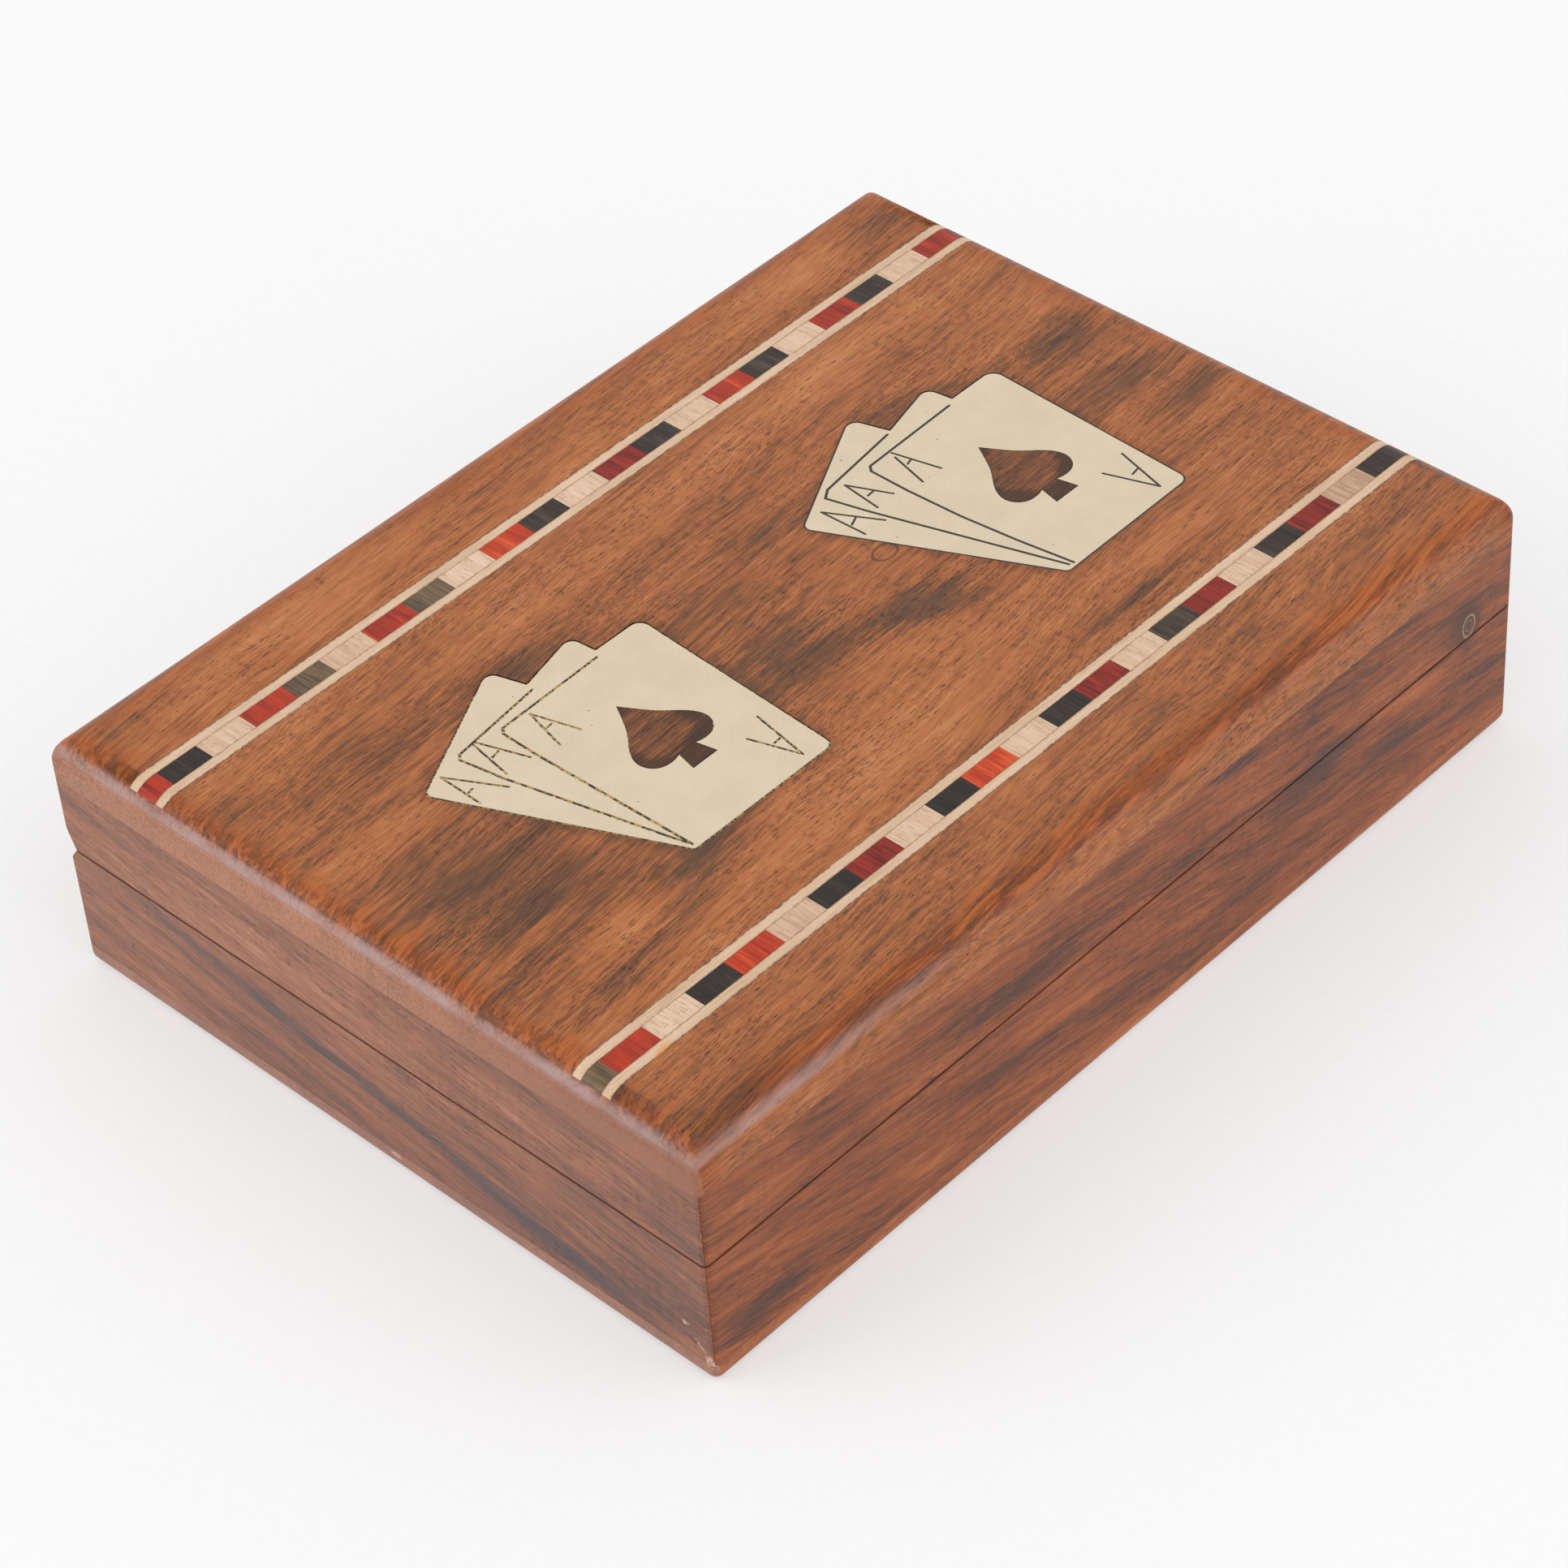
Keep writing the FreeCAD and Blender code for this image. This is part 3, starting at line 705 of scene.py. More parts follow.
boardLook = {
    "turn": (0, 0, -5),
    "smoke": (
        (-60, -4, 20, 12, 5, -0.24), (-57, -13.5, 22, 4, 5, -0.2), (-57, -18.2, 20, 2.6, 8, -0.16),
        (-40, -22, 13, 6, 5, -0.28), (-46, -27.5, 8, 3, 8, -0.16), (-60, -24, 18, 7, 5, -0.06),
        (-61, -30, 18, 2.6, 8, -0.18), (-66, 4, 14, 4, 0, -0.08), (-62, 15, 16, 4, 5, -0.10),
        (-72, 29, 10, 4, 5, -0.10), (-49, 19.5, 13, 3, 12, -0.12), (-7, -5.5, 11, 9, 4, -0.26),
        (-8, 9, 12, 6, 4, -0.13), (-9, -14, 12, 2, 5, -0.10), (11.3, -10.9, 7.5, 5, 0, -0.32),
        (3, -9, 9, 3, 6, -0.12), (16, -14.5, 7, 4, 0, -0.2), (8, 14, 11, 5, 5, -0.16),
        (0, 0, 15, 5, 5, -0.05), (63, 11, 15, 5, 3, -0.22), (62, -2, 14, 5, 2, -0.2),
        (67, -10, 12, 3.5, 0, -0.22), (62, -18, 16, 3, 0, -0.12), (30, -31.5, 20, 1, 2, -0.2),
        (-8, 49, 17, 4, 4, -0.07), (68, 49, 10, 6, 0, -0.16), (-70, 50, 14, 5, 5, -0.12),
        (-66, -52, 16, 3, 0, -0.16), (-22, -54, 24, 2, 3, -0.10), (63.7, -52.7, 2.8, 0.7, 8, -0.4),
        (54, -52.3, 2.8, 0.7, 8, -0.3), (45.5, -53, 2.8, 0.7, 5, -0.26),
        (-53, -23.5, 11, 3, 5, 0.16), (-60, -16.2, 12, 1.1, 8, 0.16), (-20, 28, 30, 6, 3, 0.12),
        (30, 30, 38, 5, 3, 0.12), (-10, -28, 28, 6, 4, 0.16), (37, -27, 22, 4, 2, 0.16),
        (45, 48, 28, 6, 0, 0.13), (-40, 48, 30, 6, 3, 0.13), (0, -50, 120, 12, 0, -0.04)),
    "fans": (((-39.1, -20.7), (-53.2, 11.3), (-32.5, 21.8), (-21.2, 18.5), (-13.0, 14.1),
              (-14.8, -20.7)),
             ((28.3, -21.6), (13.3, 10.3), (33.6, 21.0), (44.9, 17.6), (53.5, 13.4),
              (52.1, -21.3))),
    "stainReach": 2.6, "stain": 0.2, "stainPatches": (1.8, -0.25),
    "burnt": ((0.1, "#4E2410"), (0.45, "#8A4119"), (0.8, "#B0602B")), "burntStrength": 0.8,
    "burntFrom": 70.4, "burntTo": 74.6, "burntEdge": (75.7, 74.7),
    "burntDrift": {"cloud": 6.0, "comb": 9.0, "streak": 7.0},
    "burntGrain": {"comb": 2.2, "streak": 2.2},
    "endFrom": 75.0, "endTo": 75.7, "endGrain": "#B98A74", "endSpeck": (1.3, -0.2),
    "endDusk": "#8F5F4C", "duskTo": -44.0, "duskStrength": 0.62,
    # the pale haze on the shoulder of the rounding is a painted reflection of the studio light
    "reflectionColour": "#B6A2A2", "reflectionFrom": 35.5, "reflectionTo": 37.8, "reflectionAlong": (-20.0, -76.0, 0.07, 0.56),
    "reflectionPatches": {"cloud": 2.4, "comb": 0.8},
    "crease": "#7C4A34", "creaseHeight": 36.1, "creaseReach": 0.14, "creaseStrength": 0.45,
    "curl": {"place": (16.4, -1.0), "halfSize": (2.1, 1.5), "round": 1.2, "wobble": 0.5,
             "line": 0.16, "strength": 0.6, "colour": "#3A2519"},
}


def boardStain(tree, spot, smoke):
    # dark filler worked into the pores round each fan, uneven from place to place
    patchy = patterns(tree, spot, {"patchy": (7, 7, 7, 3)})["patchy"]
    patchy = addNode(tree, "Math", (patchy, *boardLook["stainPatches"]),
                     operation="MULTIPLY_ADD")
    for corners in boardLook["fans"]:
        away = None
        for index, (x, y) in enumerate(corners):
            nextX, nextY = corners[(index + 1) % len(corners)]
            run = Vector((nextX - x, nextY - y)).normalized()
            normal = (-run.y, run.x, 0)
            side = addNode(tree, "VectorMath", (spot, normal), operation="DOT_PRODUCT")
            side = addNode(tree, "Math", (side, normal[0] * x + normal[1] * y),
                           operation="SUBTRACT")
            away = addNode(tree, "Math", (away, side), operation="MAXIMUM") if away else side
        near = addNode(tree, "MapRange", (away, boardLook["stainReach"], -1.0), **softly)
        near = addNode(tree, "Math", (near, patchy), operation="MULTIPLY")
        smoke = addNode(tree, "Math", (near, -boardLook["stain"], smoke),
                        operation="MULTIPLY_ADD")
    return smoke


def boardMarks(tree, spot, colour, made):
    look = boardLook
    axes = addNode(tree, "SeparateXYZ", (spot,)).outputs
    burnt = 0.0
    for axis, shift in ((0, 0), (1, (panelHigh.x - panelHigh.y) / mm)):
        out = addNode(tree, "Math", (axes[axis],), operation="ABSOLUTE")
        drift = mixed(tree, shift, made, look["burntDrift"])
        inner = addNode(tree, "Math", (out, drift), operation="ADD")
        inner = addNode(tree, "MapRange", (inner, look["burntFrom"], look["burntTo"]), **softly)
        outer = addNode(tree, "MapRange", (
            out, *(edge - shift for edge in look["burntEdge"])), **softly)
        both = addNode(tree, "Math", (inner, outer), operation="MULTIPLY")
        burnt = addNode(tree, "Math", (both, burnt), operation="MAXIMUM")
    scorch = mixed(tree, 0.5, made, look["burntGrain"])
    scorch = addNode(tree, "ValToRGB", (scorch,), look["burnt"])
    burnt = addNode(tree, "Math", (burnt, look["burntStrength"]), operation="MULTIPLY")
    colour = addNode(tree, "Mix", {0: burnt, 6: colour, 7: scorch}, **colours)
    # end grain: paler and finely speckled, duskier towards the front
    endwise = addNode(tree, "Math", (axes[0],), operation="ABSOLUTE")
    speck = patterns(tree, spot, {"speck": (0.5, 0.5, 0.5, 2)})["speck"]
    speck = addNode(tree, "Math", (speck, *look["endSpeck"]), operation="MULTIPLY_ADD")
    endFace = addNode(tree, "MapRange", (endwise, look["endFrom"], look["endTo"]), **softly)
    pale = addNode(tree, "Math", (endFace, speck), operation="MULTIPLY")
    colour = addNode(tree, "Mix", {0: pale, 6: colour, 7: look["endGrain"]}, **colours)
    dusky = addNode(tree, "MapRange", (axes[1], 0.0, look["duskTo"], 0.0, look["duskStrength"]),
                    **softly)
    dusky = addNode(tree, "Math", (dusky, endFace), operation="MULTIPLY")
    colour = addNode(tree, "Mix", {0: dusky, 6: colour, 7: look["endDusk"]}, **colours)
    # painted reflection: a pale haze of the studio light on the shoulder of the rounding, painted
    # into the colour, most of all at the left
    low = addNode(tree, "MapRange", (axes[2], look["reflectionFrom"], look["reflectionFrom"] + 1), **softly)
    high = addNode(tree, "MapRange", (axes[2], look["reflectionTo"], look["reflectionTo"] - 1), **softly)
    paintedReflection = addNode(tree, "Math", (low, high), operation="MULTIPLY")
    leftward = addNode(tree, "MapRange", (axes[0], *look["reflectionAlong"]), **softly)
    paintedReflection = addNode(tree, "Math", (paintedReflection, leftward), operation="MULTIPLY")
    patchy = mixed(tree, 0.8, made, look["reflectionPatches"])
    paintedReflection = addNode(tree, "Math", (paintedReflection, patchy), operation="MULTIPLY")
    colour = addNode(tree, "Mix", {0: paintedReflection, 6: colour, 7: look["reflectionColour"]}, **colours)
    # the line the rounding cutter left in the end grain
    line = lineWhere(tree, axes[2], look["creaseHeight"], look["creaseReach"],
                     look["creaseStrength"])
    line = addNode(tree, "Math", (line, pale), operation="MULTIPLY")
    colour = addNode(tree, "Mix", {0: line, 6: colour, 7: look["crease"]}, **colours)
    # a thin curl of filler beside the right fan
    curl = look["curl"]
    ring = addNode(tree, "Mapping", {
        "Vector": spot, "Location": (*curl["place"], 0), "Scale": (*curl["halfSize"], noLimit)},
        vector_type="TEXTURE")
    ring = addNode(tree, "VectorMath", (ring,), operation="LENGTH")
    wobble = addNode(tree, "Math", (made["cloud"], curl["wobble"], ring),
                     operation="MULTIPLY_ADD")
    ring = lineWhere(tree, wobble, curl["round"], curl["line"], curl["strength"])
    return addNode(tree, "Mix", {0: ring, 6: colour, 7: curl["colour"]}, **colours)


boardMaterial = sheesham("VarnishedSheeshamTopBoard", boardLook, boardStain, boardMarks)


# Walls: planed sheesham under the same varnish, redder and with slate-purple streaks. The
# grain of the front falls to the right. Dark lines show where the boards are glued.

wallLook = {
    "colours": ((0.0, "#24130F"), (0.2, "#472E26"), (0.38, "#6D3F2A"), (0.54, "#914F2D"),
                (0.68, "#A65F37"), (0.85, "#B87042"), (1.0, "#D09262")),
    "sizes": {**sheeshamLook["sizes"], "band": (60, 5, 5, 4), "streak": (24, 1.2, 1.2, 4)},
    "weights": {**sheeshamLook["weights"], "band": 0.5, "streak": 0.5, "comb": 0.42},
    "pores": ((1.9, 0.25, -0.12), (1.2, 0.2, -0.12)), "poreDark": 0.5,
    "smokeColour": "#5A4440", "frayReach": (20, 3, 0),
}
frontLook = {
    **wallLook, "turn": (0, -8, 0), "offset": (30, 12, 40), "smokeTurn": (-90, 0, 0),
    "tone": -0.01,
    "smoke": (
        (-22, 23, 17, 3.5, -8, -0.16), (-16, 26, 9, 2.5, -5, -0.09), (20, 31, 4, 1.3, 0, -0.4),
        (34, 26, 3.5, 9, 15, -0.14), (64, 24, 5, 5, 0, -0.12), (10, 22, 12, 2, 0, -0.14),
        (38, 20.5, 12, 2.5, 0, -0.16), (-70, 7, 10, 3.5, -20, -0.22),
        (-63, 7, 7, 1.5, -15, -0.22), (-24, 13, 18, 2.5, -12, -0.14),
        (-6, 9.5, 12, 2.5, -6, -0.12), (36, 18, 13, 3.5, 0, -0.2),
        (52, 13, 13, 3.5, -8, -0.22), (68, 14, 9, 5, 0, -0.1),
        (28, 9, 14, 1.5, 0, -0.09), (-68, 26, 12, 5, -6, 0.12), (20, 25, 9, 5, 0, 0.10),
        (-4, 26, 12, 2.5, 0, 0.08), (-68, 16, 12, 2.5, -25, 0.14), (-12, 14, 16, 1.5, -12, 0.14),
        (54, 18.5, 12, 1.5, 0, 0.18), (-38, 7, 7, 1.3, -4, 0.16), (34, 6, 14, 1.5, 0, 0.1)),
    "knot": (66.8, 22.3), "knotSize": (1.35, 1.9), "knotLine": 0.17,
    "knotDepth": 2.85, "knotWobble": 0.3,
    "knotHalo": "#48322C", "knotEdge": (2.8, 1.1, 0.0, 0.75), "knotRing": "#A98875",
    "knotRings": ((1.05, 0.65), (0.6, 0.25)),   # how big, and how strong
}
leftLook = {
    **wallLook, "turn": (-7, 0, -90), "offset": (10, 70, 20), "smokeTurn": (-90, -90, 0),
    "colours": ((0.0, "#33241F"), (0.2, "#57453F"), (0.38, "#7B5547"), (0.54, "#96624C"),
                (0.68, "#A97258"), (0.85, "#BC866A"), (1.0, "#D0A084")),
    "smokeColour": "#61565A",
    "smoke": (
        (-28, 5.5, 26, 5, 0, -0.20), (-48, 9, 14, 5, 0, -0.12),
        (22, 15.4, 36, 1.9, 10, -0.3), (-20, 8.2, 38, 2.0, 10, -0.3), (20, 7, 34, 2, 7, -0.12),
        (-50, 20, 12, 16, 0, -0.09), (22, 28.4, 4, 0.9, -4, -0.3), (-5, 19.3, 4, 0.8, 0, -0.22),
        (25, 25, 28, 6, 0, 0.10), (46, 10, 12, 5, 10, 0.06), (0, 27, 60, 8, 0, 0.07),
        (-30, 26, 20, 4, 0, 0.05)),
    "scars": ((-55.2, 3.6, 2.4, 2.0, 70), (-51.6, 8.0, 1.4, 1.1, 20), (-53.4, 5.8, 1.8, 0.9, 40),
              (-1.8, 2.4, 3.0, 1.0, 0)),
    "scarred": {"worn": 1.8, "fibre": 0.9, "speck": 2.4}, "scarSpecks": (0.8, 0.5, 0.5, 3),
    "scarEdge": (0.1, 0.45, 0.0, 0.7), "leftOnly": (-75.0, -75.6),
    "bare": "#DDB79E", "foot": "#A38F8B", "footStrength": 0.38,
}
rightLook = {**leftLook, "turn": (4, 0, -90), "offset": (-60, 20, 50), "smoke": ()}
floorLook = {**wallLook, "offset": (-40, 33, 5), "tone": 0.15}


# the dark line along the parting line is painted shade of the gap between lid and base
seamLook = {"glue": "#3A1E15", "glueReach": 0.12, "glueStrength": 0.35,
            "partingShade": "#4A1E14", "partingShadeReach": 0.4, "partingShadeStrength": 0.5}


def seamMarks(tree, spot, colour, made):
    # glue lines where walls meet each other and the boards, and painted shade along the parting line
    # where the lid closes on the base
    axes = addNode(tree, "SeparateXYZ", (spot,)).outputs
    endwise = addNode(tree, "Math", (axes[0],), operation="ABSOLUTE")
    sideways = addNode(tree, "Math", (axes[1],), operation="ABSOLUTE")
    diagonal = addNode(tree, "Math", (endwise, sideways), operation="SUBTRACT")
    reach, strength = seamLook["glueReach"], seamLook["glueStrength"]
    line = lineWhere(tree, diagonal, (panelHigh.x - panelHigh.y) / mm, reach, strength)
    for height in (panelUnder, floorTop):
        level = lineWhere(tree, axes[2], height / mm, reach, strength)
        line = addNode(tree, "Math", (line, level), operation="MAXIMUM")
    colour = addNode(tree, "Mix", {0: line, 6: colour, 7: seamLook["glue"]}, **colours)
    # painted shade along the parting line
    partingShade = lineWhere(tree, axes[2], (lidRim + baseRim) / 2 / mm, seamLook["partingShadeReach"],
                     seamLook["partingShadeStrength"])
    return addNode(tree, "Mix", {0: partingShade, 6: colour, 7: seamLook["partingShade"]}, **colours)


def knotMarks(tree, spot, colour, made):
    # a small pin knot: two pale rings in a dark halo
    colour = seamMarks(tree, spot, colour, made)
    knotX, knotZ = frontLook["knot"]
    halfWide, halfTall = frontLook["knotSize"]
    place = addNode(tree, "Mapping", {
        "Vector": spot, "Location": (knotX, panelLow.y / mm, knotZ),
        "Scale": (halfWide, frontLook["knotDepth"], halfTall)}, vector_type="TEXTURE")
    far = addNode(tree, "VectorMath", (place,), operation="LENGTH")
    far = addNode(tree, "Math", (made["comb"], frontLook["knotWobble"], far),
                  operation="MULTIPLY_ADD")
    halo = addNode(tree, "MapRange", (far, *frontLook["knotEdge"]), **softly)
    colour = addNode(tree, "Mix", {0: halo, 6: colour, 7: frontLook["knotHalo"]}, **colours)
    for size, strength in frontLook["knotRings"]:
        ring = lineWhere(tree, far, size, frontLook["knotLine"], strength)
        colour = addNode(tree, "Mix", {0: ring, 6: colour, 7: frontLook["knotRing"]}, **colours)
    return colour


def wornMarks(tree, spot, colour, made):
    # varnish knocked off near the foot of the left end, and paler and greyer along the foot itself
    look = leftLook
    colour = seamMarks(tree, spot, colour, made)
    flat = addNode(tree, "Mapping", {"Vector": spot, "Rotation": inRadians(look["smokeTurn"])})
    worn = ovals(tree, flat, [(*scar, 1.0) for scar in look["scars"]], 0.0)
    speck = patterns(tree, spot, {"speck": look["scarSpecks"]})["speck"]
    worn = mixed(tree, -0.1, {"worn": worn, "fibre": made["fibre"], "speck": speck},
                 look["scarred"])
    worn = addNode(tree, "MapRange", (worn, *look["scarEdge"]), **softly)
    axes = addNode(tree, "SeparateXYZ", (spot,)).outputs
    left = addNode(tree, "MapRange", (axes[0], *look["leftOnly"]), **softly)
    worn = addNode(tree, "Math", (worn, left), operation="MULTIPLY")
    foot = addNode(tree, "MapRange", (
        axes[2], floorTop / mm, floorTop / mm - 0.1, 0.0, look["footStrength"]))
    foot = addNode(tree, "Math", (foot, left), operation="MULTIPLY")
    colour = addNode(tree, "Mix", {0: foot, 6: colour, 7: look["foot"]}, **colours)
    return addNode(tree, "Mix", {0: worn, 6: colour, 7: look["bare"]}, **colours)


wallMaterials = {
    "front": sheesham("VarnishedSheeshamFront", frontLook, marks=knotMarks),
    "back": sheesham("VarnishedSheeshamBack", {**wallLook, "turn": (0, 3, 0),
                     "offset": (90, 52, -30)}, marks=seamMarks),
    "left": sheesham("VarnishedSheeshamLeftEnd", leftLook, marks=wornMarks),
    "right": sheesham("VarnishedSheeshamRightEnd", rightLook, marks=seamMarks),
}
floorMaterial = sheesham("VarnishedSheeshamFloor", floorLook, marks=wornMarks)
# the divider is the same wood, only sanded: even and a little paler, with few dark streaks
dividerMaterial = sheesham("SandedSheeshamDivider", {
    "turn": (0, 0, -90), "offset": (15, -45, 70), "tone": 0.04})

# Spades: thin sheesham pressed into the brass and sanded flush, darker, brown lac in the stems
spadeLook = {
    "offset": (-12, 21, 9), "tone": -0.16,
    "sizes": {**sheeshamLook["sizes"], "band": (30, 2.5, 2.5, 4)},
    "bare": (0.5, 0.4), "bareHeight": 0.54,       # half sizes of the bare wood, and its height
    "lac": "#3D2A1D", "lacEdge": (1.15, 0.9, 0.0, 0.8), "ragged": {"comb": 0.8, "cloud": 0.8},
}


def spadeMarks(tree, spot, colour, made):
    # lac runs in from the edge and fills the stem, the middle of the leaf is bare wood
    leaves = []
    for hand in ("left", "right"):
        low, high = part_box(hand + "_spade_insert")
        size = (high - low) / mm
        leaves.append(((low.x + high.x) / 2 / mm, low.y / mm + size.y * spadeLook["bareHeight"],
                       size.x * spadeLook["bare"][0], size.y * spadeLook["bare"][1], 0, 1.0))
    edge = ovals(tree, spot, leaves, 0.0)
    for name, weight in spadeLook["ragged"].items():
        edge = addNode(tree, "Math", (made[name], weight, edge), operation="MULTIPLY_ADD")
    edge = addNode(tree, "MapRange", (edge, *spadeLook["lacEdge"]), **softly)
    return addNode(tree, "Mix", {0: edge, 6: colour, 7: spadeLook["lac"]}, **colours)


spadeMaterial = sheesham("SandedSheeshamSpades", spadeLook, marks=spadeMarks)
print("wood ready")


# Band woods, set across the band and sanded flush. The saw and glue lines across a block are
# a few hundredths of a millimetre wide; they are drawn a third of a millimetre apart.

bandLook = {
    "colours": {
        "maple": ((0.25, "#BC9673"), (0.45, "#D3B292"), (0.6, "#DEBD9F"), (0.8, "#E8CEB2")),
        "white": ((0.2, "#B08B6D"), (0.42, "#CFAC90"), (0.6, "#DEBEA2"), (0.85, "#EDD3BA")),
        "red": ((0.0, "#4A120B"), (0.25, "#761F17"), (0.5, "#9B2D1D"), (0.75, "#BC3A18"),
                (1.0, "#DC5C2C")),
        "black": ((0.0, "#16110E"), (0.3, "#28211D"), (0.5, "#372E28"), (0.7, "#544334"),
                  (1.0, "#7E684C"))},
    "names": {"white": "SandedMapleBlocks", "red": "RedDyedBlocks", "black": "EbonisedBlocks"},
    "lines": {"white": 0.7, "red": 0.9, "black": 0.8},
    "broad": {"white": 0.4, "red": 0.9, "black": 0.7},
    "glue": {"outer": "#4E2F20", "inner": "#8C6248",
             "white": "#7A4F38", "red": "#2A0F0C", "black": "#1B1411"},
    "glueEdge": {"outer": (3.12, 3.4, 0.0, 0.9), "inner": (2.14, 1.92, 0.0, 0.6),
                 "block": (1.72, 1.86, 0.0, 0.55)},    # in mm from the middle of the band
    "ragged": (0.8, 3, 3, 3), "raggedString": 0.5, "raggedBlock": 0.4,
    "stringMix": {"fine": 0.7, "soft": 0.5}, "stringRelief": 0.01 * mm, "blockRelief": 0.015 * mm,
    "stringSizes": {"fine": (5, 0.18, 0.18, 3), "soft": (14, 2, 2, 2)},
    "blockSizes": {"lines": (0.3, 6, 3, 4), "broad": (1.6, 9, 3, 2), "wavy": (0.25, 1.4, 1.4, 2)},
    "wavy": "#AD846A", "wavyEdge": (0.56, 0.66, 0.0, 0.5),
    "spill": (-66, -41.3, 2.6, 0.9, 20, 0.8), "spillColour": "#D9963F",   # a drop of varnish
    "tones": {
        "back": {"red": (0.5, 0.6, 0.56, 0.78, 0.36, 0.56, 0.48, 0.5),
                 "black": (0.36, 0.78, 0.8, 0.5, 0.48, 0.54, 0.52, 0.5),
                 "white": (0.5, 0.46, 0.6, 0.6, 0.56, 0.58, 0.52)},
        "front": {"black": (0.9, 0.34, 0.34, 0.3, 0.36, 0.56, 0.42, 0.46),
                  "red": (0.64, 0.7, 0.34, 0.8, 0.32, 0.34, 0.3, 0.34),
                  "white": (0.6, 0.42, 0.56, 0.55, 0.54, 0.54, 0.3)},
    },
}


def fromMiddle(tree, spot, made, raggedness):
    # how far, in mm, a place is from the middle line of its band, a little ragged
    off = addNode(tree, "SeparateXYZ", (spot,)).outputs[1]
    off = addNode(tree, "Math", (off,), operation="ABSOLUTE")
    off = addNode(tree, "Math", (off, bandMiddle / mm), operation="SUBTRACT")
    off = addNode(tree, "Math", (off,), operation="ABSOLUTE")
    return addNode(tree, "Math", (made["ragged"], raggedness, off), operation="MULTIPLY_ADD")


# Maple stringing, sanded flush: pale and fine grained, dark glue squeezed out along its edges
stringMaterial, tree, spot = newMaterial("SandedMapleStringing")
made = patterns(tree, spot, {**bandLook["stringSizes"], "ragged": bandLook["ragged"]})
tone = mixed(tree, 0.52, made, bandLook["stringMix"])
colour = addNode(tree, "ValToRGB", (tone,), bandLook["colours"]["maple"])
off = fromMiddle(tree, spot, made, bandLook["raggedString"])
for side in ("outer", "inner"):
    edge = addNode(tree, "MapRange", (off, *bandLook["glueEdge"][side]), **softly)
    colour = addNode(tree, "Mix", {0: edge, 6: colour, 7: bandLook["glue"][side]}, **colours)
spill = ovals(tree, spot, [bandLook["spill"]], 0.0)
colour = addNode(tree, "Mix", {0: spill, 6: colour, 7: bandLook["spillColour"]}, **colours)
surface(tree, made["fine"], bandLook["stringRelief"], {
    "Base Color": colour, "Roughness": 0.42, "IOR": 1.5, "Specular IOR Level": 0.25})


# Blocks: sanded maple, boxwood dyed red right through, and wood ebonised with iron, whose
# brown shows where it took badly
blockMaterials = {}
for kind, title in bandLook["names"].items():
    blockMaterials[kind], tree, spot = newMaterial(title)
    made = patterns(tree, spot, {**bandLook["blockSizes"], "ragged": bandLook["ragged"]})
    made["block"] = addNode(tree, "Attribute", attribute_name="blockTone").outputs["Fac"]
    tone = mixed(tree, 0.5, made, {"lines": bandLook["lines"][kind],
                                   "broad": bandLook["broad"][kind], "block": 1.0})
    colour = addNode(tree, "ValToRGB", (tone,), bandLook["colours"][kind])
    if kind == "white":
        wavy = addNode(tree, "MapRange", (made["wavy"], *bandLook["wavyEdge"]), **softly)
        colour = addNode(tree, "Mix", {0: wavy, 6: colour, 7: bandLook["wavy"]}, **colours)
    edge = fromMiddle(tree, spot, made, bandLook["raggedBlock"])
    edge = addNode(tree, "MapRange", (edge, *bandLook["glueEdge"]["block"]), **softly)
    colour = addNode(tree, "Mix", {0: edge, 6: colour, 7: bandLook["glue"][kind]}, **colours)
    surface(tree, made["lines"], bandLook["blockRelief"], {
        "Base Color": colour, "Roughness": 0.4, "IOR": 1.5, "Specular IOR Level": 0.25})


def setBlockTones(row, where, kind):
    # one shade for each block, from left to right
    slack = 0.1 * mm
    starts = bandStarts[where][kind]
    tones = bandLook["tones"][where][kind]
    attribute = row.data.attributes.new("blockTone", "FLOAT", "FACE")
    for face in row.data.polygons:
        index = max(i for i, start in enumerate(starts) if start <= face.center.x + slack)
        attribute.data[face.index].value = tones[min(index, len(tones) - 1)]


# Brass, rolled into sheet and sanded flush: pale and satin, with hair scratches and a few
# pits. The hinges are the same metal left as rolled, yellower and a little brighter.
brassLook = {
    "fan": {"name": "SandedBrassSheet", "roughness": 0.5, "relief": 0.006 * mm,
            "colours": ((0.15, "#D3C5AA"), (0.5, "#DBCDB5"), (0.85, "#E1D5BF"))},
    "hinge": {"name": "RolledBrass", "roughness": 0.38, "relief": 0.008 * mm,
              "colours": ((0.2, "#9C7A44"), (0.5, "#B7975A"), (0.8, "#C9AE75"))},
}
brassWear = {
    "mix": {"soft": 0.6, "marks": 0.8},
    "soft": (6, 6, 6, 3), "scratch": (6, 0.16, 6, 2), "scratchTurns": (24, -51),
    "scratchDull": 0.3, "pits": 0.42, "pitSize": (0.075, 0.03), "pitChance": (0.7, 0.74, 0.0, 0.7),
    "pitColour": "#6E5A3C", "pitDepth": -2.0,
}
brassMaterials = {}
